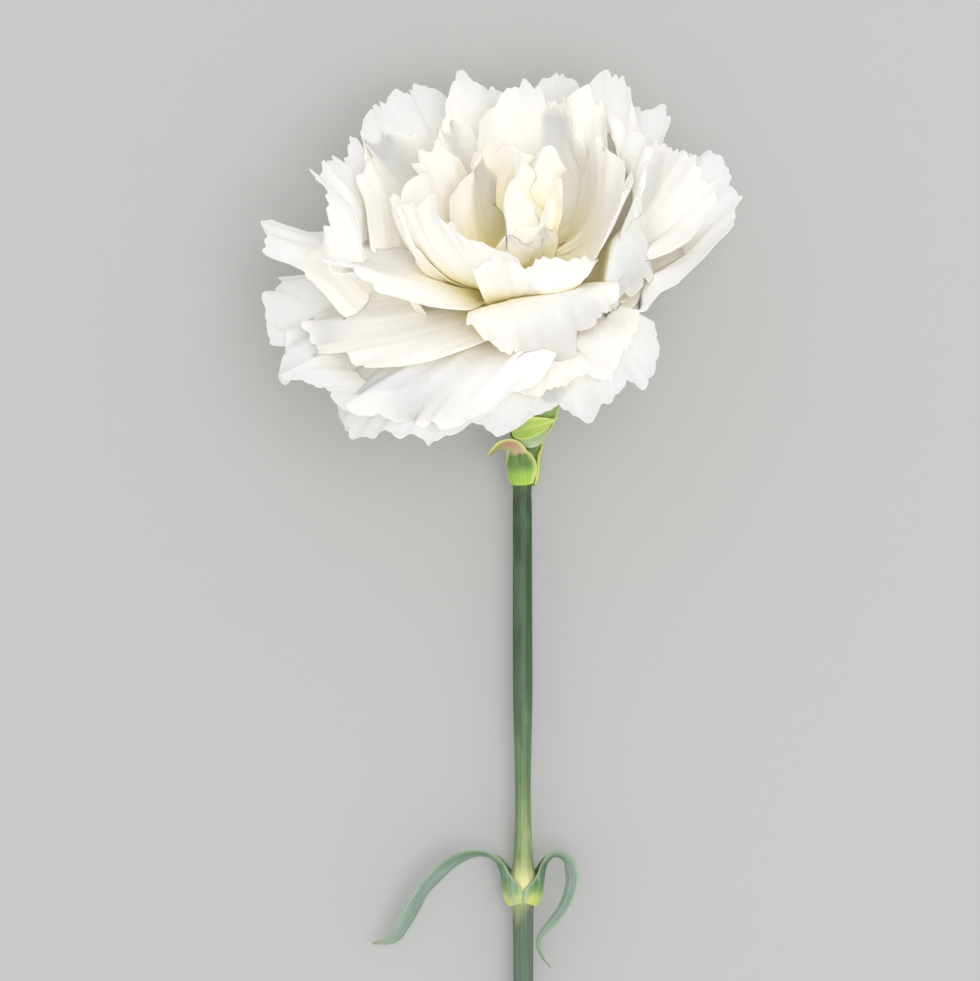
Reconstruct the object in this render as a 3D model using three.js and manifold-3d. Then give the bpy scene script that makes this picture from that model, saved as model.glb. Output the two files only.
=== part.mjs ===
// A cut standard carnation, laid on a table: one white double bloom on a jointed stem.
// Units are millimetres, +Z is up, and the stem lies along Y with the bloom at the +Y end.
import * as THREE from 'three';
import { mergeVertices } from 'three/addons/utils/BufferGeometryUtils.js';
import Module from 'manifold-3d';

const wasm = await Module();
wasm.setup();

// ---- driving dimensions ----
const calyxFoot = -29;           // heights from where the lowest petals bend out of the calyx
const calyxMouth = -3;
const calyxMouthRadius = 7.3;
const calyxWall = 0.6;
const calyxToothLength = 2.2;
const calyxFlare = 0.3;         // how far the teeth bend out for each unit that they rise
const clawLength = 18;          // narrow foot of each petal, inside the calyx
const petalThickness = 0.34;
const petalGap = 0.3;           // clearance left where a petal presses on its neighbour
const stemTopRadius = 1.75;
const stemCutRadius = 2.15;
const nodeSpacing = 77;         // from one stem joint to the next
const stemLength = 207;         // from the joint under the bloom to the cut end
const bloomTilt = 38;           // how far the bloom's axis rises from the table, degrees
const bloomLean = 9;            // and how far it leans towards -X
const leafThickness = 0.5;

const radians = THREE.MathUtils.degToRad;
const vec = (x, y, z) => new THREE.Vector3(x, y, z);

// ---- the bloom's own axes: up its axis, across it, and out of its low side ----
const bloomUp = vec(
  -Math.sin(radians(bloomLean)) * Math.cos(radians(bloomTilt)),
  Math.cos(radians(bloomLean)) * Math.cos(radians(bloomTilt)),
  Math.sin(radians(bloomTilt)),
);
const bloomSide = vec(Math.cos(radians(bloomLean)), Math.sin(radians(bloomLean)), 0);
const bloomFront = new THREE.Vector3().crossVectors(bloomSide, bloomUp);

// azimuth 0 faces the viewer above the table, 90 is to +X, 180 rests on the table
function outward(azimuth) {
  return bloomFront.clone().multiplyScalar(Math.cos(azimuth))
    .addScaledVector(bloomSide, Math.sin(azimuth));
}

function around(azimuth) {
  return bloomFront.clone().multiplyScalar(-Math.sin(azimuth))
    .addScaledVector(bloomSide, Math.cos(azimuth));
}

function bloomPoint(azimuth, radius, height) {
  return outward(azimuth).multiplyScalar(radius).addScaledVector(bloomUp, height);
}

// ---- materials ----
const colours = {
  petal: 0xf4f1ea,
  calyx: 0xb9c98a,
  stem: 0x6f9069,
  leaf: 0x93a78f,
  bract: 0xc3cf83,
  pistil: 0xe9ecc8,
};

function material(name) {
  const roughness = name === 'petal' ? 0.75 : 0.6;
  return new THREE.MeshStandardMaterial({ color: colours[name], roughness, metalness: 0 });
}

const flower = new THREE.Group();

function addMesh(name, geometry, finish) {
  const mesh = new THREE.Mesh(geometry, material(finish));
  mesh.name = name;
  flower.add(mesh);
  return mesh;
}

// ---- closed solids from a grid of sheet points ----
// rows is a grid of points on the sheet; the sheet is thickened half to each side
function sheetNormals(rows) {
  const last = rows.length - 1;
  const edge = rows[0].length - 1;
  return rows.map((row, i) => row.map((point, j) => {
    const along = rows[Math.min(i + 1, last)][j].clone().sub(rows[Math.max(i - 1, 0)][j]);
    const across = row[Math.min(j + 1, edge)].clone().sub(row[Math.max(j - 1, 0)]);
    return across.cross(along).normalize();
  }));
}

function offsetRows(rows, normals, distance) {
  return rows.map((row, i) => row.map((p, j) => p.clone().addScaledVector(normals[i][j], distance)));
}

function sheetSolid(rows, thickness) {
  const normals = sheetNormals(rows);
  const faces = [offsetRows(rows, normals, thickness / 2), offsetRows(rows, normals, -thickness / 2)];
  const height = rows.length;
  const width = rows[0].length;
  const positions = faces.flat(2).flatMap((p) => [p.x, p.y, p.z]);
  const at = (side, i, j) => side * height * width + i * width + j;
  const triangles = [];
  const quad = (a, b, c, d) => triangles.push(a, b, c, a, c, d);
  for (let i = 0; i + 1 < height; i += 1) {
    for (let j = 0; j + 1 < width; j += 1) {
      quad(at(0, i, j), at(0, i, j + 1), at(0, i + 1, j + 1), at(0, i + 1, j));
      quad(at(1, i, j), at(1, i + 1, j), at(1, i + 1, j + 1), at(1, i, j + 1));
    }
    quad(at(0, i, 0), at(0, i + 1, 0), at(1, i + 1, 0), at(1, i, 0));
    quad(at(0, i + 1, width - 1), at(0, i, width - 1), at(1, i, width - 1), at(1, i + 1, width - 1));
  }
  for (let j = 0; j + 1 < width; j += 1) {
    quad(at(0, 0, j + 1), at(0, 0, j), at(1, 0, j), at(1, 0, j + 1));
    quad(at(0, height - 1, j), at(0, height - 1, j + 1), at(1, height - 1, j + 1), at(1, height - 1, j));
  }
  return meshGeometry(positions, triangles);
}

function meshGeometry(positions, triangles) {
  const geometry = new THREE.BufferGeometry();
  geometry.setAttribute('position', new THREE.Float32BufferAttribute(positions, 3));
  geometry.setIndex(triangles);
  return geometry;
}

// ---- cutting one solid clear of its neighbours ----
function toManifold(geometry) {
  const bare = geometry.clone();
  bare.deleteAttribute('normal');
  bare.deleteAttribute('uv');
  const welded = mergeVertices(bare, 1e-5);
  return new wasm.Manifold(new wasm.Mesh({
    numProp: 3,
    vertProperties: new Float32Array(welded.attributes.position.array),
    triVerts: new Uint32Array(welded.index.array),
  }));
}

function fromManifold(solid) {
  const mesh = solid.getMesh();
  return meshGeometry(Array.from(mesh.vertProperties), Array.from(mesh.triVerts));
}

function largestPiece(solid) {
  return solid.decompose().reduce((best, next) => (next.volume() > best.volume() ? next : best));
}

// ---- petals ----
// Five whorls, outermost first. Each claw stands in its whorl's ring in the calyx and ends
// at the lift, where the limb leaves at the start angle from the axis.
const whorls = [
  { name: 'guard', mouth: 5.4, foot: 4.1, lift: 0, start: 80 },
  { name: 'outer', mouth: 4.6, foot: 3.45, lift: 1.3, start: 74 },
  { name: 'middle', mouth: 3.8, foot: 2.8, lift: 2.6, start: 66 },
  { name: 'inner', mouth: 3.0, foot: 2.15, lift: 3.9, start: 56 },
  { name: 'heart', mouth: 2.0, foot: 1.5, lift: 5.2, start: 20 },
];
const stagger = 0.65;            // every second petal of a whorl leaves its claw this much higher

// at: azimuth of the limb. reach, rise: where the rim's middle ends, out from and above the
// mouth. start, end: the midline's angle from the bloom's axis at the claw and at the rim.
// half: half the limb's width. cup: curl of the side edges inwards. pull: how far the limb
// bulges on its way. wave, folds, phase: the ruffle at the rim. fan: how late it widens.
// round: how far the rim's corners are rounded off. skew: how much longer one side is.
// lip: how far the rim rolls outwards. pleat: fine radial folds near the rim.
const petalDefaults = {
  end: 115, half: 18, cup: 0, twist: 8, wave: 1.5, folds: 1.6, phase: 0,
  pull: 1.1, fan: 0.42, pleat: 0, round: 0.38, skew: 0, lip: 1,
};
const petals = {
  guard: [
    { at: -46, reach: 41, rise: -1.5, end: 118, half: 22, cup: -10, wave: 2.2, folds: 1.3, phase: 0.1 },
    { at: -29, reach: 34, rise: -2, end: 120, half: 19, cup: -15, wave: 1.8, folds: 1.8, phase: 0.1 },
    { at: 23, reach: 33, rise: -1, end: 118, half: 15, cup: -12, wave: 1.8, folds: 1.5, phase: 0.3 },
    { at: 104, reach: 39, rise: 16, end: 60, half: 18, cup: 50, twist: 24, wave: 2.2, phase: 0.2 },
    { at: 130, reach: 36, rise: 4, half: 20 },
    { at: 165, reach: 36, rise: 2, half: 20 },
    { at: 199, reach: 36, rise: 2, half: 20 },
    { at: 232, reach: 38, rise: 5, end: 105, half: 20 },
    { at: 270, reach: 43, rise: 8, end: 95, half: 22, cup: -10, wave: 2.4, folds: 1.4, phase: 0.4 },
  ],
  outer: [
    { at: -40, reach: 40, rise: 2.5, end: 114, half: 21, cup: -10, phase: 0.35, pull: 1.15, pleat: 0.6 },
    { at: 11, reach: 30, rise: 3, end: 122, half: 18, cup: -15, folds: 1.5, phase: 0.2, pull: 1.15 },
    {
      at: 106, reach: 34, rise: 20, end: 45, half: 20, cup: 45, twist: 20, folds: 1.5, phase: 0.1,
      round: 0.55,
    },
    { at: 128, reach: 33, rise: 24, end: 35, half: 14, cup: 20 },
    { at: 180, reach: 35, rise: 8, end: 90 },
    { at: 218, reach: 35, rise: 12, end: 80 },
    {
      at: 263, reach: 42, rise: 20, end: 60, half: 17, cup: 5, wave: 2.4, folds: 1.5, phase: 0.2,
      round: 0.6,
    },
    { at: 292, reach: 44, rise: 5, end: 108, half: 20, cup: -10, folds: 1.3, phase: 0.5 },
  ],
  middle: [
    {
      at: 15, reach: 24, rise: 5.5, start: 50, end: 160, half: 17, cup: -15, twist: -4, wave: 0.8,
      pull: 1.85, skew: -0.06,
    },
    { at: 60, reach: 22, rise: 5, start: 55, end: 172, half: 16, cup: -25, wave: 0.8, folds: 1.2, pull: 3 },
    { at: 98, reach: 23, rise: 30, end: 15, half: 16, cup: 50, folds: 1.2 },
    { at: 138, reach: 27, rise: 32, end: 12, half: 17, cup: 40, folds: 2.2, pleat: 0.5 },
    { at: 188, reach: 25, rise: 32, end: 10, half: 12, cup: 70 },
    { at: 212, reach: 30, rise: 31, end: 20, half: 20, cup: 30, folds: 2 },
    { at: 232, reach: 27, rise: 28, end: 28, half: 14, cup: 30, folds: 1.8 },
    { at: 254, reach: 31.5, rise: 29, end: 45, half: 13, cup: 10, twist: 0, folds: 1.5, round: 0.12 },
    { at: 286, reach: 38, rise: 7, end: 92, half: 18, cup: 5, folds: 1.2, phase: 0.3 },
  ],
  inner: [
    {
      at: -60, reach: 16.5, rise: 28.5, end: 0, half: 16, cup: 44, folds: 1.1, phase: 0.3,
      fan: 0.22, round: 0.25,
    },
    {
      at: 8, reach: 18.5, rise: 22, end: 8, half: 11, cup: 35, twist: -6, wave: 0.8, fan: 0.2,
      round: 0.15, skew: -0.08,
    },
    { at: 92, reach: 19, rise: 28, end: 5, half: 15, cup: 30, folds: 1.5, phase: 0.1, fan: 0.3 },
    { at: 136, reach: 20.8, rise: 32, end: 5, half: 10, cup: 45, folds: 1.2 },
    { at: 162, reach: 20, rise: 32, end: 10, half: 13, cup: 60, folds: 1.2 },
    { at: 205, reach: 20, rise: 27, end: 0, half: 10, cup: 100 },
    { at: 240, reach: 15, rise: 29, end: 10, half: 11, cup: 60, fan: 0.3 },
    { at: 284, reach: 33, rise: 22, end: 55, half: 17, cup: 5, folds: 1.1 },
  ],
  heart: [
    { at: 40, reach: 9, rise: 24, end: 0, half: 8, cup: 60 },
    { at: 82, reach: 2.5, rise: 31.5, start: 5, end: 4, half: 6, cup: 50, twist: 0 },
    { at: 126, reach: 11, rise: 25.5, start: 30, end: 50, half: 8, cup: 20, folds: 2.5 },
    { at: 174, reach: 9, rise: 28, end: 10, half: 9, cup: 60 },
    { at: 207, reach: 8.5, rise: 25, start: 15, end: 0, half: 7, cup: -30, fan: 0.25 },
  ],
};

const clawRows = 2;
const limbRows = 6;
const petalColumns = 8;
const clawHalfWidth = 0.9;

// a smooth curve from the mouth to the rim's middle, running on straight past it
function midline(petal, whorl, q) {
  const from = new THREE.Vector2(whorl.mouth, petal.lift);
  const to = new THREE.Vector2(petal.reach, petal.rise);
  const stretch = from.distanceTo(to) * 1.1 * petal.pull;
  const leave = new THREE.Vector2(Math.sin(radians(petal.start)), Math.cos(radians(petal.start)));
  const arrive = new THREE.Vector2(Math.sin(radians(petal.end)), Math.cos(radians(petal.end)));
  leave.multiplyScalar(stretch);
  arrive.multiplyScalar(stretch);
  const t = Math.min(q, 1);
  const point = from.multiplyScalar(2 * t ** 3 - 3 * t ** 2 + 1);
  point.addScaledVector(leave, t ** 3 - 2 * t ** 2 + t);
  point.addScaledVector(to, 3 * t ** 2 - 2 * t ** 3);
  point.addScaledVector(arrive, t ** 3 - t ** 2 + Math.max(q - 1, 0));
  return point;
}

function limbPoint(petal, whorl, u, v) {
  const q = v * (1 - petal.round * Math.abs(u) ** 2.6 + petal.skew * u);
  const here = midline(petal, whorl, q);
  const ahead = midline(petal, whorl, q + 0.001).sub(here);
  const slope = Math.atan2(ahead.x, ahead.y);
  const turn = THREE.MathUtils.euclideanModulo(petal.at - petal.clawAt + 180, 360) - 180;
  const azimuth = radians(petal.clawAt + turn * q ** 0.7);
  const side = around(azimuth);
  const normal = outward(azimuth).multiplyScalar(-Math.cos(slope))
    .addScaledVector(bloomUp, Math.sin(slope));
  const twist = radians(petal.twist) * q;
  const across = side.clone().multiplyScalar(Math.cos(twist)).addScaledVector(normal, Math.sin(twist));
  const upward = normal.clone().multiplyScalar(Math.cos(twist)).addScaledVector(side, -Math.sin(twist));
  const neck = THREE.MathUtils.smoothstep(q, -0.1, 0.35);
  const width = clawHalfWidth + (petal.half - clawHalfWidth) * q ** petal.fan * neck;
  const curl = radians(petal.cup) * q / width || 1e-6;
  const ruffle = petal.wave * q ** 3 * Math.sin(Math.PI * petal.folds * u + 2 * Math.PI * petal.phase);
  const pleats = petal.pleat * q ** 2 * Math.sin(Math.PI * 7 * u + 1);
  const roll = petal.lip * THREE.MathUtils.smoothstep(q, 0.72, 1.02) ** 2;
  return bloomPoint(azimuth, here.x, here.y)
    .addScaledVector(across, Math.sin(curl * u * width) / curl)
    .addScaledVector(upward, (1 - Math.cos(curl * u * width)) / curl + ruffle + pleats - roll);
}

function clawPoint(petal, whorl, u, depth) {
  const azimuth = radians(petal.clawAt);
  const radius = THREE.MathUtils.lerp(whorl.mouth, whorl.foot, depth);
  const width = clawHalfWidth * (1 - 0.45 * depth);
  const height = THREE.MathUtils.lerp(petal.lift, -clawLength, depth);
  return bloomPoint(azimuth, radius, height).addScaledVector(around(azimuth), u * width);
}

// spare widens the outline, for the cutter that keeps a gap round a petal
function petalRows(petal, whorl, spare) {
  const rows = [];
  for (let i = clawRows; i > 0; i -= 1) {
    const depth = i / clawRows;
    rows.push(columns((u) => clawPoint(petal, whorl, u * (1 + spare / clawHalfWidth), depth)));
  }
  for (let i = 0; i <= limbRows; i += 1) {
    const v = i / limbRows;
    const wide = 1 + spare / Math.max(petal.half * v, clawHalfWidth);
    rows.push(columns((u) => limbPoint(petal, whorl, u * wide, i < limbRows ? v : 1 + spare / 40)));
  }
  return rows;
}

function columns(point) {
  return Array.from({ length: petalColumns + 1 }, (_, j) => point(-1 + 2 * j / petalColumns));
}

// claws are spaced evenly round their ring, in the order of the limbs they carry
function placeClaws(list, whorl) {
  const step = 360 / list.length;
  const lead = list.reduce((sum, petal, i) => sum + petal.at - i * step, 0) / list.length;
  list.forEach((petal, i) => Object.assign(petal, {
    clawAt: lead + i * step,
    lift: whorl.lift + stagger * ((i + 1) % 2),
  }));
}

function makePetals() {
  const made = [{ cutter: toManifold(calyxGeometry(petalGap)) }];
  for (const whorl of [...whorls].reverse()) {
    const list = petals[whorl.name].map((petal) => ({ ...petalDefaults, start: whorl.start, ...petal }));
    list.sort((a, b) => a.at - b.at);
    placeClaws(list, whorl);
    list.forEach((petal, i) => {
      let solid = toManifold(sheetSolid(petalRows(petal, whorl, 0), petalThickness));
      for (const other of made) solid = solid.subtract(other.cutter);
      solid = largestPiece(solid.simplify(0.17));
      const cutter = toManifold(sheetSolid(petalRows(petal, whorl, petalGap), petalThickness + 2 * petalGap));
      made.push({ name: `petal_${whorl.name}_${i + 1}`, solid, cutter });
    });
  }
  return made.slice(1);
}

// ---- calyx: a tapering tube round the claws, with five short teeth ----
const calyxProfile = [
  [calyxFoot, 2.3], [-27, 3.3], [-22, 4.6], [-16, 5.6], [-10, 6.3], [calyxMouth, calyxMouthRadius],
];

function calyxRadius(height) {
  const index = calyxProfile.findIndex(([h]) => h >= height);
  if (index < 0) return calyxMouthRadius + calyxFlare * (height - calyxMouth);
  if (index === 0) return calyxProfile[0][1];
  const [h0, r0] = calyxProfile[index - 1];
  const [h1, r1] = calyxProfile[index];
  return THREE.MathUtils.mapLinear(height, h0, h1, r0, r1);
}

// the foot of the calyx leans back towards the stem
function footLean(height) {
  return vec(-1.6, -0.4, 0).multiplyScalar(THREE.MathUtils.smoothstep(-height, 19, 29));
}

// spare thickens the wall, for the cutter that keeps the petals clear of it
function calyxGeometry(spare) {
  const spokes = 20;
  const heights = calyxProfile.map(([h]) => h);
  const positions = [];
  const triangles = [];
  const rings = [];
  const ring = (inset, height, tooth) => {
    rings.push(positions.length / 3);
    for (let k = 0; k < spokes; k += 1) {
      const azimuth = 2 * Math.PI * k / spokes;
      const point = Math.abs(((5 * k / spokes) % 1) - 0.5) * 2;
      const top = height + tooth * point;
      const p = bloomPoint(azimuth, calyxRadius(top) - inset, top).add(footLean(top));
      positions.push(p.x, p.y, p.z);
    }
  };
  for (const h of heights) ring(-spare, h, 0);
  ring(-spare, calyxMouth + 0.2 + spare, calyxToothLength);
  ring(calyxWall + spare, calyxMouth + 0.2 + spare, calyxToothLength);
  for (const h of [...heights].reverse()) ring(calyxWall + spare, h, 0);
  for (let i = 0; i < rings.length; i += 1) {
    const low = rings[i];
    const high = rings[(i + 1) % rings.length];
    for (let k = 0; k < spokes; k += 1) {
      const next = (k + 1) % spokes;
      triangles.push(low + k, low + next, high + next, low + k, high + next, high + k);
    }
  }
  return meshGeometry(positions, triangles);
}

// ---- round bodies of changing radius along a smooth path ----
// stations are [point, radius]
function sweep(stations, spokes, stepsEach) {
  const path = new THREE.CatmullRomCurve3(stations.map(([p]) => p), false, 'catmullrom', 0.5);
  const girth = new THREE.CatmullRomCurve3(stations.map(([, r]) => vec(r, 0, 0)), false, 'catmullrom', 0.5);
  const steps = (stations.length - 1) * stepsEach;
  const positions = [];
  const triangles = [];
  for (let i = 0; i <= steps; i += 1) {
    const centre = path.getPoint(i / steps);
    const tangent = path.getTangent(i / steps);
    const side = vec(1, 0, 0).addScaledVector(tangent, -tangent.x).normalize();
    const up = new THREE.Vector3().crossVectors(side, tangent);
    const radius = girth.getPoint(i / steps).x;
    for (let k = 0; k < spokes; k += 1) {
      const angle = 2 * Math.PI * k / spokes;
      const p = centre.clone().addScaledVector(side, radius * Math.cos(angle))
        .addScaledVector(up, radius * Math.sin(angle));
      positions.push(p.x, p.y, p.z);
    }
  }
  const first = stations[0][0];
  const last = stations[stations.length - 1][0];
  positions.push(first.x, first.y, first.z, last.x, last.y, last.z);
  const cap = (steps + 1) * spokes;
  for (let k = 0; k < spokes; k += 1) {
    const next = (k + 1) % spokes;
    for (let a = 0; a < steps * spokes; a += spokes) {
      const b = a + spokes;
      triangles.push(a + k, b + next, a + next, a + k, b + k, b + next);
    }
    triangles.push(cap, k, next, cap + 1, steps * spokes + next, steps * spokes + k);
  }
  return meshGeometry(positions, triangles);
}

// ---- leaves and bracts: a strap that clasps the stem, arches and hangs ----
// stations are [x, y, z, half width, cup in degrees, roll in degrees]; hand is the stem's side
function blade(stations, hand, thickness) {
  const path = new THREE.CatmullRomCurve3(stations.map(([x, y, z]) => vec(x, y, z)), false, 'catmullrom', 0.5);
  const shape = new THREE.CatmullRomCurve3(
    stations.map(([, , , w, c, r]) => vec(w, c, r)), false, 'catmullrom', 0.5,
  );
  const steps = (stations.length - 1) * 2;
  const across = 6;
  const rows = [];
  for (let i = 0; i <= steps; i += 1) {
    const centre = path.getPoint(i / steps);
    const tangent = path.getTangent(i / steps);
    const { x: half, y: cup, z: roll } = shape.getPoint(i / steps);
    const inner = new THREE.Vector3().crossVectors(tangent, vec(0, 0, 1)).normalize().multiplyScalar(-hand);
    const side = new THREE.Vector3().crossVectors(inner, tangent).normalize();
    inner.applyAxisAngle(tangent, radians(roll));
    side.applyAxisAngle(tangent, radians(roll));
    const width = Math.max(half, 0.2);
    const curl = radians(Math.max(cup, 1)) / width;
    rows.push(Array.from({ length: across + 1 }, (_, j) => {
      const t = curl * width * (2 * j / across - 1);
      return centre.clone().addScaledVector(side, Math.sin(t) / curl)
        .addScaledVector(inner, (1 - Math.cos(t)) / curl);
    }));
  }
  return sheetSolid(rows, thickness);
}

// ---- epicalyx: scales pressed against the foot of the calyx ----
// each scale: azimuth and height of its foot, its lean from upright in degrees, length, half width
const epicalyx = [
  [-60, -24.7, 80, 10.3, 2.3],
  [115, -28.6, 0, 9.1, 1.9],
  [182, -28.6, 0, 9.1, 1.9],
  [249, -28.6, 0, 9.1, 1.9],
];

function epicalyxGeometry([at, foot, leanDegrees, length, widest]) {
  const lean = radians(leanDegrees);
  const rows = [];
  for (let i = 0; i <= 8; i += 1) {
    const v = i / 8;
    const half = 0.25 + widest * Math.sin(Math.PI * Math.min(v + 0.12, 1)) ** 0.8;
    const bow = 1.4 * Math.sin(lean) * Math.sin(Math.PI * v);
    rows.push(Array.from({ length: 5 }, (_, j) => {
      const u = j / 2 - 1;
      const height = foot + Math.cos(lean) * length * v - Math.sin(lean) * half * u + bow;
      const radius = calyxRadius(height) + 0.35 + 0.3;
      const azimuth = radians(at) + (Math.sin(lean) * length * v + Math.cos(lean) * half * u) / radius;
      return bloomPoint(azimuth, radius, height).add(footLean(height));
    }));
  }
  return sheetSolid(rows, 0.4);
}

// ---- pistil: a slim ovary with two styles ----
function pistilGeometry() {
  const onAxis = (height) => bloomPoint(0, 0, height);
  const ovary = toManifold(sweep([
    [onAxis(-clawLength), 0.55], [onAxis(-16.5), 0.85], [onAxis(-13), 0.85], [onAxis(-10.5), 0.5],
  ], 10, 2));
  const style = (azimuth) => toManifold(sweep([
    [bloomPoint(azimuth, 0.12, -12), 0.22],
    [bloomPoint(azimuth, 0.35, -7), 0.22],
    [bloomPoint(azimuth, 0.8, -1.5), 0.2],
  ], 8, 2));
  return fromManifold(ovary.add(style(0)).add(style(Math.PI)));
}

// ---- assembly, about the middle of the bloom's throat ----
const madePetals = makePetals();
const lowestPetal = Math.min(...madePetals.map(({ solid }) => solid.boundingBox().min[2]));
const mouthHeight = -lowestPetal;

const topJoint = vec(0.4, -27.8, -mouthHeight + 7.8);
const cutEnd = vec(0.9, topJoint.y - stemLength, -mouthHeight + stemCutRadius);

// the stem runs straight from the joint under the bloom down to the cut end on the table
function stemAt(distance) {
  return topJoint.clone().lerp(cutEnd, distance / stemLength);
}

function stemRadius(distance) {
  return THREE.MathUtils.lerp(stemTopRadius, stemCutRadius, distance / stemLength);
}

// a joint from 6 mm below its middle to 6 mm above: how far down, and how much it swells
const jointSwell = [
  [6, 0], [3.6, 0.05], [2.2, 0.55], [0.8, 0.95], [-0.6, 0.95], [-2.4, 0.5], [-4.2, 0.05], [-6.2, -0.1],
];

function jointStations(distance) {
  return jointSwell.map(([step, swell]) => [stemAt(distance + step), stemRadius(distance + step) + swell]);
}

function stemGeometry() {
  const axis = (height) => bloomPoint(0, 0, height).add(footLean(height));
  return sweep([
    [cutEnd, stemCutRadius],
    [stemAt(stemLength - 25), stemRadius(stemLength - 25)],
    ...jointStations(2 * nodeSpacing),
    [stemAt(1.5 * nodeSpacing), stemRadius(1.5 * nodeSpacing)],
    ...jointStations(nodeSpacing),
    [stemAt(0.5 * nodeSpacing), stemRadius(0.5 * nodeSpacing)],
    [stemAt(7), stemRadius(7)],
    [stemAt(3.6), stemRadius(3.6)],
    [stemAt(2.2), 2.0],
    [stemAt(0.4), 2.3],
    [stemAt(-1.4), 2.2],
    [vec(1.2, -24.9, topJoint.z + 0.9), 1.75],
    [axis(calyxFoot - 1.2), 1.35],
    [axis(calyxFoot + 0.4), 1.4],
    [axis(-26), 2.3],
    [axis(-22.5), 3.3],
    [axis(-clawLength - 0.8), 4.1],
  ], 12, 1);
}

// the leaves of a joint: stations are measured from the joint's middle
function jointLeaf(distance, stations, hand) {
  const joint = stemAt(distance);
  const placed = stations.map(([x, y, z, ...shape]) => [joint.x + x, joint.y + y, joint.z + z, ...shape]);
  return blade(placed, hand, leafThickness);
}

addMesh('stem', stemGeometry(), 'stem');
addMesh('calyx', calyxGeometry(0), 'calyx');
addMesh('pistil', pistilGeometry(), 'pistil');
epicalyx.forEach((scale, i) => addMesh(`epicalyx_scale_${i + 1}`, epicalyxGeometry(scale), 'bract'));

addMesh('bract_left', jointLeaf(0, [
  [-0.51, -3.4, 2.19, 2.89, 72, 72],
  [-0.63, -2, 2.57, 3.39, 72, 72],
  [-0.71, 0.5, 2.81, 3.5, 68, 72],
  [-0.9, 2.1, 3.1, 2.3, 42, 72],
  [-1.3, 3.2, 4.4, 1.6, 26, 68],
  [-2.4, 3.8, 5.1, 1.35, 24, 50],
  [-3.9, 3.6, 5, 1.3, 20, 35],
  [-5.2, 2.8, 4.7, 0.9, 15, 25],
  [-6.3, 1.8, 4.2, 0.15, 10, 20],
], -1), 'bract');
addMesh('bract_right', jointLeaf(0, [
  [2.43, -3.4, -0.56, 1.77, 44, 14],
  [2.82, -2, -0.65, 2.07, 44, 14],
  [3.06, 0.5, -0.71, 2.06, 40, 14],
  [3.2, 2.6, -1.4, 1.6, 30, 20],
  [3.4, 4.4, -2.4, 1.3, 25, 25],
  [3.8, 6.2, -3, 1, 20, 25],
  [4.2, 8, -3.4, 0.2, 10, 25],
], 1), 'bract');
addMesh('leaf_left', jointLeaf(nodeSpacing, [
  [-2.7, -3.1, 0, 4.2, 89, 0],
  [-3.15, -2, 0, 4.9, 89, 0],
  [-3.45, 0.3, 0, 5, 84, 0],
  [-3.75, 2.8, 0.1, 3.2, 58, 0],
  [-4.6, 4.9, 0.6, 2.1, 38, 5],
  [-7, 6.4, 1.6, 1.7, 28, 15],
  [-9.6, 6.3, 2.6, 1.6, 24, 30],
  [-12.8, 5, 3.3, 1.6, 22, 40],
  [-15.8, 2.6, 3.5, 1.7, 20, 48],
  [-18.6, -0.9, 3.1, 1.7, 20, 50],
  [-21.2, -5.4, 2.1, 1.6, 18, 52],
  [-23.7, -9, 0.9, 1.2, 15, 55],
  [-27.5, -10.1, -0.5, 0.2, 8, 60],
], -1), 'leaf');
addMesh('leaf_right', jointLeaf(nodeSpacing, [
  [2.7, -3.1, 0, 4.2, 89, 0],
  [3.15, -2, 0, 4.9, 89, 0],
  [3.45, 0.3, 0, 5, 84, 0],
  [3.7, 2.8, 0.3, 3, 56, 0],
  [4.2, 4.9, 0.9, 2, 38, -5],
  [5.8, 6.4, 2, 1.7, 28, -15],
  [7.8, 5.5, 3.2, 1.7, 22, -30],
  [8.7, 3.1, 4.2, 1.6, 20, -40],
  [8.3, 0.3, 4.6, 1.4, 18, -45],
  [7.1, -2.8, 4.4, 1.2, 16, -45],
  [5.2, -5.4, 3.9, 1, 14, -40],
  [3.5, -7.6, 3.3, 0.8, 12, -35],
  [2.7, -9.8, 2.9, 0.7, 10, -30],
  [3.5, -12.1, 2.2, 0.6, 8, -30],
  [5, -14.1, 1.5, 0.2, 8, -30],
], 1), 'leaf');
addMesh('lower_leaf_left', jointLeaf(2 * nodeSpacing, [
  [-2.8, -3.1, 0, 3.4, 70, 0],
  [-3.25, -2, 0, 3.85, 68, 0],
  [-3.6, 0.3, 0, 4.1, 66, 0],
  [-3.9, 3, 0.2, 3.2, 55, 0],
  [-5.2, 6.5, 0.9, 2.4, 38, 5],
  [-9, 13, 2.2, 2.2, 28, 15],
  [-15.5, 18, 3.5, 2.1, 22, 30],
  [-26, 17, 3, 1.9, 20, 45],
  [-34, 9, 1, 1.5, 16, 55],
  [-38, -2, -1.2, 0.3, 8, 60],
], -1), 'leaf');
addMesh('lower_leaf_right', jointLeaf(2 * nodeSpacing, [
  [2.8, -3.1, 0, 3.4, 70, 0],
  [3.25, -2, 0, 3.85, 68, 0],
  [3.6, 0.3, 0, 4.1, 66, 0],
  [3.9, 3, 0.3, 3, 55, 0],
  [5.1, 7, 1.2, 2.3, 38, -5],
  [8, 14.5, 2.6, 2.2, 28, -15],
  [14, 21, 4.5, 2.1, 22, -30],
  [24, 23, 5, 1.9, 20, -45],
  [34, 17, 3, 1.5, 16, -55],
  [40, 7, -0.8, 0.3, 8, -60],
], 1), 'leaf');

for (const { name, solid } of madePetals) addMesh(name, fromManifold(solid), 'petal');

// ---- the origin goes under the middle of the whole flower, on the table ----
const box = new THREE.Box3().setFromObject(flower);
const middle = box.getCenter(vec(0, 0, 0));
for (const mesh of flower.children) mesh.geometry.translate(-middle.x, -middle.y, -box.min.z);

export default flower;
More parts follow.
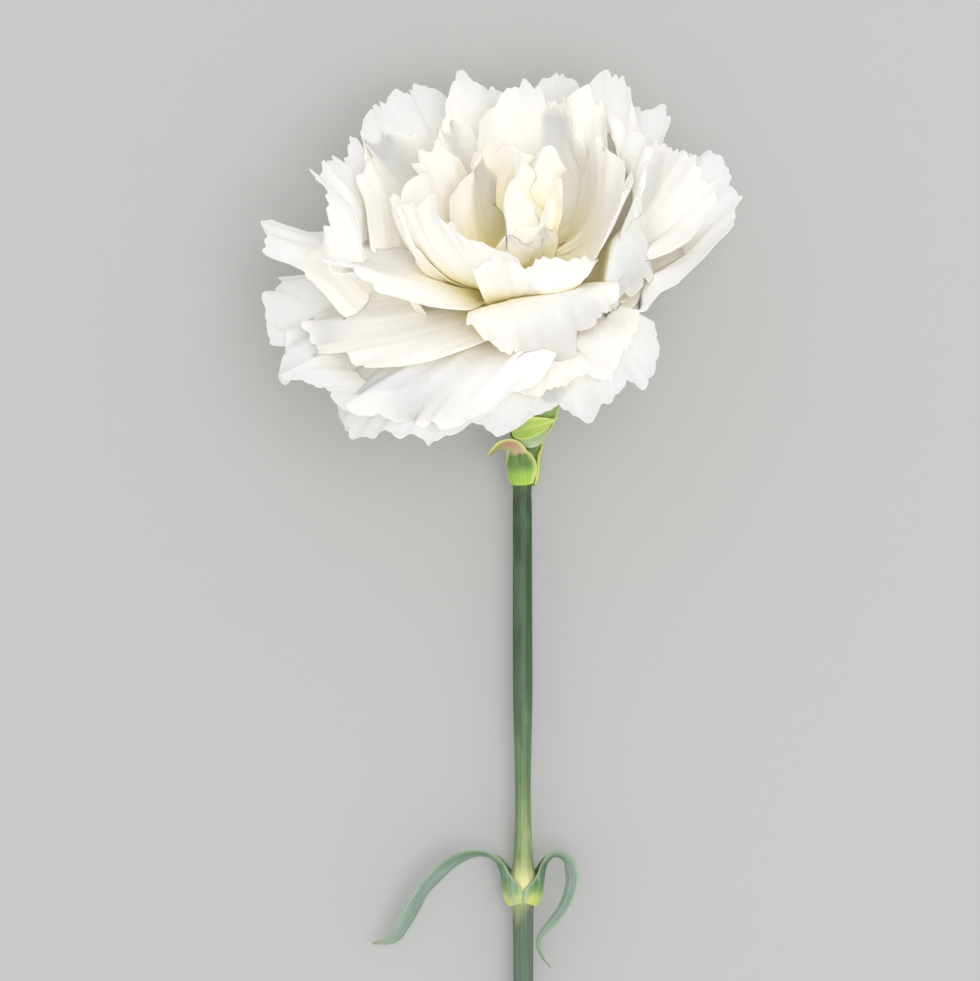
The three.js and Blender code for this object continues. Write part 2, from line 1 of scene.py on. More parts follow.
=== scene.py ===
# %% [markdown]
# # A cut carnation, laid on a table
# A florist's carnation is one stem with one full double bloom. The bloom is about forty
# petals, each a fan on a narrow claw, held upright in a green tube, the calyx. The stem has
# swollen joints, and each joint carries a pair of strap leaves that curl away from it.
#
# The flower lies on its back: the bloom's axis rises from the table towards the viewer, and
# the stem runs away along -Y. All the work is done in millimetres about the bloom's throat,
# the spot on the axis where the lowest petals bend out of the calyx, and each piece is put
# into the frame, in metres, when its mesh is made.

import math

import bpy
import numpy as np
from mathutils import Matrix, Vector
from mathutils.bvhtree import BVHTree


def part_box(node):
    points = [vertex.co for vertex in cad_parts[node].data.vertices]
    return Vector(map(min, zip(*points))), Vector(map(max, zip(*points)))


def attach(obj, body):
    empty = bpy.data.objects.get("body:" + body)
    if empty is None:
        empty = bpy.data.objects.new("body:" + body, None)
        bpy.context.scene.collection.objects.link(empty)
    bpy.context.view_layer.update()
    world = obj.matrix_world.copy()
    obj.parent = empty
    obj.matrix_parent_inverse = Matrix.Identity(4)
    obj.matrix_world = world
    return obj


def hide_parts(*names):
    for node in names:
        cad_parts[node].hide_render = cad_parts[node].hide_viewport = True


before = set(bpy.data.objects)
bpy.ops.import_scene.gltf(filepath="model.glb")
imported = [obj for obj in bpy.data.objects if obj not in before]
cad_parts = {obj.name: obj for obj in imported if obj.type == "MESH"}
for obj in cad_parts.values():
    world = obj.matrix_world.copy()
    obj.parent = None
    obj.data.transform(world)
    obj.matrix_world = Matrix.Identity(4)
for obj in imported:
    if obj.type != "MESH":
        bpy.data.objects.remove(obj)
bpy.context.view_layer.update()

MM = 0.001
BLOOM_TILT = math.radians(38)   # the axis rises this far from the table
BLOOM_LEAN = math.radians(9)    # and leans this far towards -X
bloom_up = np.array([
    -math.sin(BLOOM_LEAN) * math.cos(BLOOM_TILT),
    math.cos(BLOOM_LEAN) * math.cos(BLOOM_TILT),
    math.sin(BLOOM_TILT),
])
bloom_side = np.array([math.cos(BLOOM_LEAN), math.sin(BLOOM_LEAN), 0.0])
bloom_front = np.cross(bloom_side, bloom_up)

PISTIL_TO_THROAT = 9.5          # along the axis, from the middle of the pistil
pistil_low, pistil_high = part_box("pistil")
throat = np.array((pistil_low + pistil_high) / 2) / MM + PISTIL_TO_THROAT * bloom_up
stem_low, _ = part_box("stem")
cut_y = stem_low.y / MM - throat[1]
print("throat at", np.round(throat, 1), "mm, the stem's cut end", round(-cut_y, 1), "mm down from it")

# %% [markdown]
# ## Points in the bloom's own axes
# Everything in the bloom is easiest to place as a gardener would describe it: how far round
# it stands, how far out from the axis and how high above the throat. Azimuth 0 is the side
# nearest the viewer, 90 is to the right and 180 rests on the table. The helpers work on
# whole arrays, so one call places a whole grid of points.

# %% Bloom coordinates
def outward(azimuth):
    """Unit vectors that point away from the axis at these azimuths, in radians."""
    azimuth = np.asarray(azimuth)[..., None]
    return bloom_front * np.cos(azimuth) + bloom_side * np.sin(azimuth)


def around(azimuth):
    """Unit vectors along the ring, towards a larger azimuth."""
    azimuth = np.asarray(azimuth)[..., None]
    return -bloom_front * np.sin(azimuth) + bloom_side * np.cos(azimuth)


def bloom_point(azimuth, radius, height):
    radius = np.asarray(radius, float)[..., None]
    height = np.asarray(height, float)[..., None]
    return outward(azimuth) * radius + bloom_up * height


def smoothstep(x, low, high):
    t = np.clip((x - low) / (high - low), 0, 1)
    return t * t * (3 - 2 * t)


print("the axis points to", np.round(bloom_up, 3))

# %% [markdown]
# ## Meshes from grids
# A petal, a leaf and a stem are all grids of points. A sheet is thickened to both sides of
# its grid and closed along its edge, so every piece is one closed skin, as a real petal is.
# A Solidify modifier could do the same, but doing it here lets the thickness taper to the
# rim. A tube is a grid whose rows are closed rings, with a fan of faces over each end.
#
# Each vertex also keeps two numbers that its material reads later: "along" runs from the
# foot of the piece to its tip, and "edge" is 1 at the margin. The UV map, "grain", holds
# millimetres across and along, so veins and fibres follow the growth of the piece.

# %% Grid helpers
def sheet_normals(grid):
    along = np.gradient(grid, axis=0)
    across = np.gradient(grid, axis=1)
    normal = np.cross(across, along)
    return normal / np.linalg.norm(normal, axis=-1, keepdims=True).clip(1e-9)


def grid_quads(rows, columns):
    """One quad between each four neighbours of a grid."""
    index = np.arange(rows * columns).reshape(rows, columns)
    a, b, c, d = index[:-1, :-1], index[:-1, 1:], index[1:, 1:], index[1:, :-1]
    return np.stack([a, b, c, d], -1).reshape(-1, 4)


def sheet_faces(rows, columns):
    """Quads of a closed sheet: the upper side, the lower side, then the strip round them."""
    index = np.arange(rows * columns).reshape(rows, columns)
    upper = grid_quads(rows, columns)
    lower = np.roll(upper[:, ::-1], 1, axis=1) + rows * columns
    loop = np.concatenate([index[0, :-1], index[:-1, -1], index[-1, :0:-1], index[:0:-1, 0]])
    below = loop + rows * columns
    strip = np.stack([loop, below, np.roll(below, -1), np.roll(loop, -1)], -1)
    return np.concatenate([upper, lower, strip])


def tube_faces(rings, spokes):
    """Quads between closed rings, for a grid with one row for each ring."""
    index = np.arange(rings * spokes).reshape(rings, spokes)
    turned = np.roll(index, -1, axis=1)
    return np.stack([index[:-1], turned[:-1], turned[1:], index[1:]], -1).reshape(-1, 4)


print("a sheet of 3 by 4 points closes with", len(sheet_faces(3, 4)), "faces")

# %% [markdown]
# ## Adding a piece to the flower
# One function turns arrays into a Blender object.

# %% Piece helper
EDGE_ANGLE = math.radians(55)   # sharper than this is an edge, not a curve
PRESS_HEIGHT = 0.8              # mm, tissue this near the table is pressed against it


def press_on_table(points):
    """Lets what would sink into the table lie on it: heights near it fade towards zero."""
    pressed = points.copy()
    height = points[..., 2] + throat[2]
    low = height < PRESS_HEIGHT
    pressed[..., 2][low] = PRESS_HEIGHT * np.exp(height[low] / PRESS_HEIGHT - 1) - throat[2]
    return pressed


def add_piece(node, points, faces, finish, slot, along, edge, grain):
    """One mesh object for the plain solid called node. points are in mm about the throat."""
    mesh = bpy.data.meshes.new(node + "_skin")
    flat = points.reshape(-1, 3)
    mesh.from_pydata(((flat + throat) * MM).tolist(), [], [list(face) for face in faces])
    for name, values in (("along", along), ("edge", edge)):
        layer = mesh.attributes.new(name, "FLOAT", "POINT")
        layer.data.foreach_set("value", np.asarray(values, np.float32).ravel())
    corner = np.zeros(len(mesh.loops), np.int32)
    mesh.loops.foreach_get("vertex_index", corner)
    uv = mesh.uv_layers.new(name="grain")
    uv.data.foreach_set("uv", np.asarray(grain, np.float32).reshape(-1, 2)[corner].ravel())
    mesh.validate()
    mesh.shade_smooth()
    mesh.set_sharp_from_angle(angle=EDGE_ANGLE)
    mesh.materials.append(finish)
    piece = bpy.data.objects.new(node + "_skin", mesh)
    bpy.context.scene.collection.objects.link(piece)
    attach(piece, "root")
    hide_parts(node)
    return piece


def add_sheet(node, grid, thickness, finish, slot, along, edge, grain):
    """A closed sheet about a grid. thickness, along and edge hold one value for each point."""
    lift = sheet_normals(grid) * (thickness / 2)[..., None]
    points = np.concatenate([(grid + lift).reshape(-1, 3), (grid - lift).reshape(-1, 3)])
    points = press_on_table(points)
    twice = [np.concatenate([values.ravel()] * 2) for values in (along, edge)]
    both = np.concatenate([grain.reshape(-1, 2)] * 2)
    add_piece(node, points, sheet_faces(*grid.shape[:2]), finish, slot, *twice, both)


# %% [markdown]
# ## Colours and nodes
# Colours are written as they look, as sRGB hex, and one function turns them to the linear
# values that Cycles works in. One more adds a node with its settings and its links, so that
# each material below reads from top to bottom like a recipe.

# %% Colour and node helpers
def linear(hex_colour):
    channels = [int(hex_colour[i:i + 2], 16) / 255 for i in (1, 3, 5)]
    return (*[c / 12.92 if c <= 0.04045 else ((c + 0.055) / 1.055) ** 2.4 for c in channels], 1.0)


def add_node(tree, kind, inputs=None, **settings):
    """Adds a node. inputs gives each socket, by name or number, a value or another's output."""
    node = tree.nodes.new(kind)
    for name, value in settings.items():
        setattr(node, name, value)
    for socket, value in (inputs or {}).items():
        if isinstance(value, bpy.types.NodeSocket):
            tree.links.new(value, node.inputs[socket])
        else:
            node.inputs[socket].default_value = value
    return node


def new_material(name):
    """An empty material and its node tree, with only the output left in it."""
    material = bpy.data.materials.new(name)
    material.use_nodes = True
    tree = material.node_tree
    tree.nodes.remove(tree.nodes["Principled BSDF"])
    return material, tree


def read_growth(tree):
    """What each vertex keeps: its share along the piece, its edge value and its grain in mm."""
    along = add_node(tree, "ShaderNodeAttribute", attribute_name="along").outputs["Fac"]
    edge = add_node(tree, "ShaderNodeAttribute", attribute_name="edge").outputs["Fac"]
    grain = add_node(tree, "ShaderNodeUVMap", uv_map="grain").outputs["UV"]
    return along, edge, grain


def finish_with(tree, surface):
    tree.links.new(surface.outputs["BSDF"], tree.nodes["Material Output"].inputs["Surface"])


MIX_A, MIX_B, MIX_OUT = 6, 7, 2   # the colour sockets of a Mix node set to RGBA
print("mid grey in linear light:", [round(c, 3) for c in linear("#808080")[:3]])

# %% [markdown]
# ## Petal tissue
# A petal is a skin of clear cells over a spongy middle full of air, which is what makes it
# white: light goes in, scatters and comes out softened, on both sides. Subsurface scattering
# gives that, and keeps the shadows in the folds pale. The pigment is only a trace: nearly
# none at the rim, cream halfway down, and a greenish yellow where the limb narrows to its
# claw; the yellow and the cream are painted deeper than that trace, as painted shade of the
# deep throat. Fine veins fan out from the claw, about one every millimetre, and stand a
# little proud, and the rim is painted a touch darker and warmer than the rest, as painted
# shade of its thin, translucent edge. Roughness is high and the gloss low, because the cells
# stand up like velvet.
#
# The veins are a noise stretched along the grain. Its sizes come from the UV map, which is
# in millimetres, so a scale of 1 is one vein for each millimetre.

# %% Petal patterns and colours
VEIN_SPACING = 1.1              # mm
VEIN_LENGTH = 26.0              # mm before a vein forks or fades
CRINKLE_SIZE = 2.6              # mm, the papery unevenness between the veins
VEIN_RELIEF = 0.25              # mm
# painted shade: the throat yellow and the cream are deeper than the claw's own tint, to stand in for the
# shade of the deep throat
THROAT_YELLOW_AND_SHADE = "#e8db98"
CREAM_AND_SHADE = "#f8f2de"
PETAL_WHITE = "#fdfbf6"
VEIN_CREAM = "#f2eedd"
# painted shade: the rim colour stands in for the darker, warmer look of the thin translucent edge
RIM_SHADE_TINT = "#efe8d6"


def petal_patterns(tree, grain):
    """The veins and the crinkle between them, each a pattern from 0 to 1."""
    stretched = add_node(tree, "ShaderNodeMapping", {
        "Vector": grain,
        "Scale": (1 / VEIN_SPACING, 1 / VEIN_LENGTH, 1),
    }).outputs["Vector"]
    veins = add_node(tree, "ShaderNodeTexNoise", {
        "Vector": stretched, "Scale": 1.0, "Detail": 3.0, "Roughness": 0.6,
    }, noise_dimensions="2D").outputs["Fac"]
    crinkle = add_node(tree, "ShaderNodeTexNoise", {
        "Vector": grain, "Scale": 1 / CRINKLE_SIZE, "Detail": 2.0, "Distortion": 0.4,
    }, noise_dimensions="2D").outputs["Fac"]
    return veins, crinkle


def petal_colour(tree, along, edge, veins):
    """Yellow in the throat, then cream, then white, with creamy veins and a darker, warmer rim. The yellow
    and cream are partly painted shade of the deep throat, the rim tint is painted shade of the thin edge.
    """
    out_of_throat = add_node(tree, "ShaderNodeMapRange", {
        "Value": along, "From Min": 0.02, "From Max": 0.42,
    }, interpolation_type="SMOOTHSTEP").outputs["Result"]
    to_white = add_node(tree, "ShaderNodeMapRange", {
        "Value": along, "From Min": 0.22, "From Max": 0.66,
    }, interpolation_type="SMOOTHSTEP").outputs["Result"]
    # partly painted shade: the yellow to cream of the lower petal is deepened for the shade of the throat
    lower = add_node(tree, "ShaderNodeMix", {
        0: out_of_throat, MIX_A: linear(THROAT_YELLOW_AND_SHADE), MIX_B: linear(CREAM_AND_SHADE),
    }, data_type="RGBA").outputs[MIX_OUT]
    blade = add_node(tree, "ShaderNodeMix", {
        0: to_white, MIX_A: lower, MIX_B: linear(PETAL_WHITE),
    }, data_type="RGBA").outputs[MIX_OUT]
    vein_share = add_node(tree, "ShaderNodeMapRange", {
        "Value": veins, "From Min": 0.5, "From Max": 0.8, "To Max": 0.2,
    }).outputs["Result"]
    veined = add_node(tree, "ShaderNodeMix", {
        0: vein_share, MIX_A: blade, MIX_B: linear(VEIN_CREAM),
    }, data_type="RGBA").outputs[MIX_OUT]
    # painted shade: the rim tint darkens and warms the thin edge
    rim_shade_share = add_node(tree, "ShaderNodeMath", {0: edge, 1: 0.3}, operation="MULTIPLY").outputs[0]
    return add_node(tree, "ShaderNodeMix", {
        0: rim_shade_share, MIX_A: veined, MIX_B: linear(RIM_SHADE_TINT),
    }, data_type="RGBA").outputs[MIX_OUT]


print("veins are", VEIN_SPACING, "mm apart and about", VEIN_LENGTH, "mm long")

# %% [markdown]
# The patterns and the colour meet in one shader. All the light that enters is scattered
# below the surface, over about a millimetre, which is far for so thin a sheet.

# %% Petal material
def make_petal_tissue():
    material, tree = new_material("carnation petal, fresh white tissue")
    along, edge, grain = read_growth(tree)
    veins, crinkle = petal_patterns(tree, grain)
    relief = add_node(tree, "ShaderNodeMath", {0: crinkle, 1: veins}, operation="ADD").outputs[0]
    bump = add_node(tree, "ShaderNodeBump", {
        "Height": relief, "Strength": 0.35, "Distance": VEIN_RELIEF * MM,
    }).outputs["Normal"]
    roughness = add_node(tree, "ShaderNodeMapRange", {
        "Value": crinkle, "To Min": 0.55, "To Max": 0.72,
    }).outputs["Result"]
    surface = add_node(tree, "ShaderNodeBsdfPrincipled", {
        "Base Color": petal_colour(tree, along, edge, veins),
        "Roughness": roughness,
        "IOR": 1.4,
        "Subsurface Weight": 1.0,
        "Subsurface Radius": (1.0, 0.96, 0.88),
        "Subsurface Scale": 1.0 * MM,
        "Specular IOR Level": 0.3,
        "Normal": bump,
    })
    finish_with(tree, surface)
    return material


petal_tissue = make_petal_tissue()
print(petal_tissue.name, "uses", len(petal_tissue.node_tree.nodes), "nodes")

# %% [markdown]
# ## Five whorls of petals
# A double carnation packs its petals in rings. The claws stand in the calyx, and the limbs
# leave it one ring above the next, the outer ones nearly level and the inner ones steeper.
# The outer petals spread and droop as a skirt, the middle ones stand as a bowl, and the
# heart is a few small crumpled ones.
#
# Each petal is written as a florist might note it. `at` is its azimuth, `reach` and `rise`
# say where the middle of its rim is, out from the axis and above the throat, and `start`
# and `end` are the angle from the axis at which its midline leaves and arrives. `half` is
# half its width, `cup` curls its sides in, `twist` turns it about its midline, `pull` makes
# it bulge on the way, and `fan` says how late it widens. `wave`, `folds` and `phase` make
# the big ruffle, `crumple` scales the chance ones and `pleat` adds a finer one. `round`,
# `skew` and `tooth` shape the rim, and `lip` rolls it out. `firm` moves a petal up or down
# the order in which they give way to each other, further on.
#
# Each whorl has the radius of its claws at the `mouth` of the calyx and at their `foot`, the
# `lift` of its lowest limb above the throat and the usual `start`. `pale` says how far its
# petals go to white: the heart's stay more cream, as painted shade for the deep heart.

# %% The petals of this bloom
whorls = {
    "guard": {"mouth": 5.4, "foot": 4.1, "lift": 0.0, "start": 80, "pale": 1.0},
    "outer": {"mouth": 4.6, "foot": 3.45, "lift": 1.3, "start": 74, "pale": 1.0},
    "middle": {"mouth": 3.8, "foot": 2.8, "lift": 2.6, "start": 66, "pale": 1.0},
    "inner": {"mouth": 3.0, "foot": 2.15, "lift": 3.9, "start": 56, "pale": 1.0},
    # the heart's pale below 1 keeps its petals cream: painted shade for the deep heart
    "heart": {"mouth": 2.0, "foot": 1.5, "lift": 5.2, "start": 20, "pale": 0.75},
}
STAGGER = 0.65                  # mm that every second petal of a ring leaves its claw higher
petal_defaults = {
    "end": 115, "half": 18, "cup": 0, "twist": 8, "wave": 1.5, "folds": 1.6, "phase": 0.0,
    "pull": 1.1, "fan": 0.42, "pleat": 0.0, "round": 0.38, "skew": 0.0, "tooth": 1.0,
    "lip": 1.0, "crumple": 1.0, "firm": 0.0,
}
petals = {
    "guard": [
        {"at": -46, "reach": 41, "rise": -1.5, "end": 118, "half": 22, "cup": -10, "wave": 2.2,
         "folds": 1.3, "phase": 0.1, "crumple": 1.5},
        {"at": -29, "reach": 34, "rise": -2, "end": 120, "half": 19, "cup": -15, "wave": 1.8,
         "folds": 1.8, "phase": 0.1, "crumple": 1.3},
        {"at": 23, "reach": 33, "rise": -1, "end": 118, "half": 15, "cup": -12, "wave": 1.8,
         "folds": 1.5, "phase": 0.3, "crumple": 1.3},
        {"at": 104, "reach": 39, "rise": 16, "end": 60, "half": 18, "cup": 50, "twist": 24,
         "wave": 2.2, "phase": 0.2},
        {"at": 130, "reach": 36, "rise": 4, "half": 20},
        {"at": 165, "reach": 36, "rise": 2, "half": 20},
        {"at": 199, "reach": 36, "rise": 2, "half": 20},
        {"at": 232, "reach": 38, "rise": 5, "end": 105, "half": 20},
        {"at": 270, "reach": 43, "rise": 8, "end": 95, "half": 22, "cup": -10, "wave": 2.4,
         "folds": 1.4, "phase": 0.4},
    ],
    "outer": [
        {"at": -40, "reach": 40, "rise": 2.5, "end": 114, "half": 21, "cup": -10, "phase": 0.35,
         "pull": 1.15, "pleat": 0.6, "crumple": 1.5},
        {"at": 11, "reach": 30, "rise": 3, "end": 122, "half": 18, "cup": -15, "folds": 1.5,
         "phase": 0.2, "pull": 1.15},
        {"at": 106, "reach": 34, "rise": 20, "end": 45, "half": 20, "cup": 45, "twist": 20,
         "folds": 1.5, "phase": 0.1, "round": 0.55},
        {"at": 128, "reach": 33, "rise": 24, "end": 35, "half": 14, "cup": 20},
        {"at": 180, "reach": 35, "rise": 8, "end": 90},
        {"at": 218, "reach": 35, "rise": 12, "end": 80},
        {"at": 263, "reach": 42, "rise": 20, "end": 60, "half": 17, "cup": 5, "wave": 2.4,
         "folds": 1.5, "phase": 0.2, "round": 0.6},
        {"at": 292, "reach": 44, "rise": 5, "end": 108, "half": 20, "cup": -10, "folds": 1.3,
         "phase": 0.5, "crumple": 1.3},
    ],
    "middle": [
        {"at": 15, "reach": 24, "rise": 5.5, "start": 50, "end": 160, "half": 17, "cup": -15,
         "twist": -4, "wave": 0.8, "pull": 1.85, "skew": -0.06},
        {"at": 60, "reach": 22, "rise": 5, "start": 55, "end": 172, "half": 16, "cup": -25,
         "wave": 0.8, "folds": 1.2, "pull": 3},
        {"at": 98, "reach": 23, "rise": 30, "end": 15, "half": 16, "cup": 50, "folds": 1.2,
         "firm": -0.7},
        {"at": 138, "reach": 27, "rise": 32, "end": 12, "half": 17, "cup": 40, "folds": 2.2,
         "pleat": 0.5},
        {"at": 188, "reach": 25, "rise": 32, "end": 10, "half": 12, "cup": 70},
        {"at": 212, "reach": 30, "rise": 31, "end": 20, "half": 20, "cup": 30, "folds": 2},
        {"at": 232, "reach": 27, "rise": 28, "end": 28, "half": 14, "cup": 30, "folds": 1.8},
        {"at": 254, "reach": 31.5, "rise": 29, "end": 45, "half": 13, "cup": 10, "twist": 0,
         "folds": 1.5, "round": 0.12},
        {"at": 286, "reach": 38, "rise": 7, "end": 92, "half": 18, "cup": 5, "folds": 1.2,
         "phase": 0.3},
    ],
    "inner": [
        {"at": -60, "reach": 16.5, "rise": 28.5, "end": 0, "half": 16, "cup": 44, "folds": 1.1,
         "phase": 0.3, "fan": 0.22, "round": 0.25},
        {"at": 8, "reach": 18.5, "rise": 22, "end": 8, "half": 11, "cup": 35, "twist": -6,
         "wave": 0.8, "fan": 0.2, "round": 0.15, "skew": -0.08},
        {"at": 92, "reach": 19, "rise": 28, "end": 5, "half": 15, "cup": 30, "folds": 1.5,
         "phase": 0.1, "fan": 0.3, "tooth": 1.5},
        {"at": 136, "reach": 20.8, "rise": 32, "end": 5, "half": 10, "cup": 45, "folds": 1.2},
        {"at": 162, "reach": 20, "rise": 32, "end": 10, "half": 13, "cup": 60, "folds": 1.2},
        {"at": 205, "reach": 20, "rise": 27, "end": 0, "half": 10, "cup": 100},
        {"at": 240, "reach": 15, "rise": 29, "end": 10, "half": 11, "cup": 60, "fan": 0.3},
        {"at": 284, "reach": 33, "rise": 22, "end": 55, "half": 17, "cup": 5, "folds": 1.1},
    ],
    "heart": [
        {"at": 40, "reach": 9, "rise": 24, "end": 0, "half": 8, "cup": 60},
        {"at": 82, "reach": 2.5, "rise": 31.5, "start": 5, "end": 4, "half": 6, "cup": 50,
         "twist": 0},
        {"at": 126, "reach": 11, "rise": 25.5, "start": 30, "end": 50, "half": 8, "cup": 20,
         "folds": 2.5},
        {"at": 174, "reach": 9, "rise": 28, "end": 10, "half": 9, "cup": 60},
        {"at": 207, "reach": 8.5, "rise": 25, "start": 15, "end": 0, "half": 7, "cup": -30,
         "fan": 0.25, "tooth": 0.2, "crumple": 0.3},
    ],
}


def place_claws(ring, whorl):
    """Spaces the claws evenly, in the order of the limbs they carry."""
    filled = [{**petal_defaults, "start": whorl["start"], **p} for p in ring]
    placed = sorted(filled, key=lambda p: p["at"])
    step = 360 / len(placed)
    lead = sum(p["at"] - i * step for i, p in enumerate(placed)) / len(placed)
    for i, p in enumerate(placed):
        p["claw_at"] = lead + i * step
        p["lift"] = whorl["lift"] + STAGGER * ((i + 1) % 2)
    return placed


rings = {name: place_claws(petals[name], whorl) for name, whorl in whorls.items()}
print({name: len(ring) for name, ring in rings.items()}, "petals")

# %% [markdown]
# ## The midline and the rim
# A petal bends most just above the calyx and again near its rim. A cubic between two points
# with a direction at each end, a Hermite curve, gives that from four numbers. The rim is a
# function of `u`, which runs from -1 to 1 across the petal: rounded at the corners, a little
# uneven, and nicked by small teeth at chance distances, because a carnation's rim is torn
# more than cut.

# %% Midline and rim
BEND_REACH = 1.1                # how far each end's direction carries, in chords of the midline
CORNER_TURN = 2.6               # the higher, the later the rim turns into its corners
RIM_WAVES = ((1.7, 0.022), (3, 0.018), (5.3, 0.012), (8.7, 0.007))   # waves across, and height
TOOTH_SPACING = 1.5             # mm
TOOTH_DEPTH = 0.9               # mm, made a share of the reach below
SHORTEST_REACH = 20             # mm, on a shorter petal the teeth shrink with it
TURN = 6.28                     # radians, as good as a whole turn for a start by chance


def heading(degrees):
    """The direction outwards and upwards at this angle from the axis."""
    return np.array([math.sin(math.radians(degrees)), math.cos(math.radians(degrees))])


def midline(petal, whorl, q):
    """Distance from the axis and height, at the share q of the way to the rim."""
    leave, arrive = heading(petal["start"]), heading(petal["end"])
    foot = np.array([whorl["mouth"], petal["lift"]])
    rim = np.array([petal["reach"], petal["rise"]])
    stretch = np.linalg.norm(rim - foot) * BEND_REACH * petal["pull"]
    t = np.minimum(q, 1)[..., None]
    point = (2 * t**3 - 3 * t**2 + 1) * foot + (t**3 - 2 * t**2 + t) * leave * stretch
    point = point + (3 * t**2 - 2 * t**3) * rim + (t**3 - t**2) * arrive * stretch
    point = point + np.maximum(q - 1, 0)[..., None] * arrive * stretch
    return point[..., 0], point[..., 1]


def rim_line(petal, u, chance):
    """How far each line of the petal runs, as a share of its midline."""
    length = 1 - petal["round"] * np.abs(u) ** CORNER_TURN + petal["skew"] * u
    for folds, size in RIM_WAVES:
        length = length + size * np.sin(math.pi * folds * u + chance.rand() * TURN)
    teeth = int(petal["half"] * 2 / TOOTH_SPACING) + 3
    spacing = 2.1 / teeth       # a little more than the rim's width of 2, so the corners have teeth
    nicks = np.sort(np.linspace(-1.05, 1.05, teeth) + chance.uniform(-0.35, 0.35, teeth) * spacing)
    depths = chance.uniform(0.1, 1.0, teeth) ** 2 * petal["tooth"] * TOOTH_DEPTH
    depths = depths / max(petal["reach"], SHORTEST_REACH)
    for place, depth in zip(nicks, depths):
        length = length - depth * np.clip(1 - np.abs(u - place) / (spacing / 2), 0, 1)
    return length


sample_rim = rim_line(petal_defaults | {"reach": 30}, np.array([-1, 0, 1]), np.random.RandomState(1))
print("a rim runs this far at its corners and middle:", sample_rim.round(2))

# %% [markdown]
# ## Building one petal
# The limb is a grid. Each row crosses the midline at right angles, curls with the cup and
# turns with the twist, and is pushed off the surface by its folds: the big ruffle, which
# grows towards the rim, chance crumples of a few millimetres, a frill and a rolled lip just
# at the rim, and fine creases and pleats that fan out from the claw. They are geometry and
# not a bump, because the folds of a petal cast shadows and show at its outline. The claw is
# a short strap below the limb.

# %% Petal builder
PETAL_THICKNESS = 0.26          # mm
RIM_THICKNESS = 0.12
CLAW_LENGTH = 18.0
CLAW_HALF_WIDTH = 0.9
CLAW_ROWS = 6
USUAL_HALF = 18                 # mm, the half width that the fold heights below are given for
CRUMPLES = ((2.3, 0.9, 4), (3.7, 0.6, 6), (6.1, 0.35, 8))   # folds across, mm, how late they rise
FRILLS = ((7.3, 0.4), (11.2, 0.22))                         # folds across, mm, just at the rim
CREASES = (3.3, 5.2, 8.4, 12.6)                             # folds across, from the claw up
CREASE_HEIGHT = 0.55            # mm, shared out over the folds of a crease
LIP_WAVES = 2.9
PLEATS = 7
SWING = 0.7                     # below 1 a limb leaves its claw's azimuth for its own early
CLAW_TAPER = 0.45               # share of its width that a claw loses towards its foot
ROWS_TO_RIM = 1.25              # above 1 the rows crowd towards the rim, where the teeth are
RIM_SEED = 100
FOLD_SEED = 500


def fold(across, q, slope, chance):
    """A wave over the phases across, begun by chance and slanting on its way to the rim."""
    start = chance.rand() * TURN
    slant = chance.uniform(-1, 1) * slope
    return np.sin(across + start + slant * q)


def limb_folds(petal, q, u, chance):
    """How far each point stands off the smooth limb, in mm, towards its upper side."""
    off = petal["wave"] * q**3 * np.sin(math.pi * petal["folds"] * u + 2 * math.pi * petal["phase"])
    for folds, size, late in CRUMPLES:
        crumple = petal["crumple"] * size * petal["half"] / USUAL_HALF * q**late
        off = off + crumple * fold(math.pi * folds * u, q, 2, chance)
    for folds, size in FRILLS:
        frill = petal["crumple"] * size * smoothstep(q, 0.6, 1.05) ** 2
        off = off + frill * fold(math.pi * folds * petal["half"] / USUAL_HALF * u, q, 2, chance)
    roll = petal["lip"] * chance.uniform(0.4, 1.2) * smoothstep(q, 0.72, 1.02) ** 2
    off = off - roll * (1 + 0.5 * np.sin(math.pi * LIP_WAVES * u + chance.rand() * TURN))
    for folds in CREASES:
        crease = CREASE_HEIGHT / folds * q**1.2 * (1 - 0.3 * q)
        off = off + crease * fold(math.pi * folds * u, q, 1.2, chance)
    return off + petal["pleat"] * q**2 * np.sin(math.pi * PLEATS * u + 1)


def limb_width(petal, q):
    """Half the width of the limb, in mm: narrow at the claw, then a fan."""
    fan = (petal["half"] - CLAW_HALF_WIDTH) * q ** petal["fan"]
    return CLAW_HALF_WIDTH + fan * smoothstep(q, -0.1, 0.35)


def limb_grid(petal, whorl, u, v, seed):
    """Points of the limb for every v (rows) and u (columns), and each one's share q of its midline."""
    v, u = np.meshgrid(v, u, indexing="ij")
    q = v * rim_line(petal, u[0], np.random.RandomState(RIM_SEED + seed))
    out, up = midline(petal, whorl, q)
    out_ahead, up_ahead = midline(petal, whorl, q + 1e-3)
    slope = np.arctan2(out_ahead - out, up_ahead - up)
    turn = (petal["at"] - petal["claw_at"] + 180) % 360 - 180
    azimuth = np.radians(petal["claw_at"] + turn * q.clip(0, 1) ** SWING)
    side = around(azimuth)
    inner = outward(azimuth) * -np.cos(slope)[..., None] + bloom_up * np.sin(slope)[..., None]
    twist = np.radians(petal["twist"] * q)[..., None]
    across = side * np.cos(twist) + inner * np.sin(twist)
    upper = inner * np.cos(twist) - side * np.sin(twist)
    width = limb_width(petal, q)
    curl = np.radians(petal["cup"] or 1e-3) * q / width + 1e-9
    turned = curl * u * width
    off = (1 - np.cos(turned)) / curl
    off = off + limb_folds(petal, q, u, np.random.RandomState(FOLD_SEED + seed))
    points = bloom_point(azimuth, out, up) + across * (np.sin(turned) / curl)[..., None]
    return points + upper * off[..., None], q


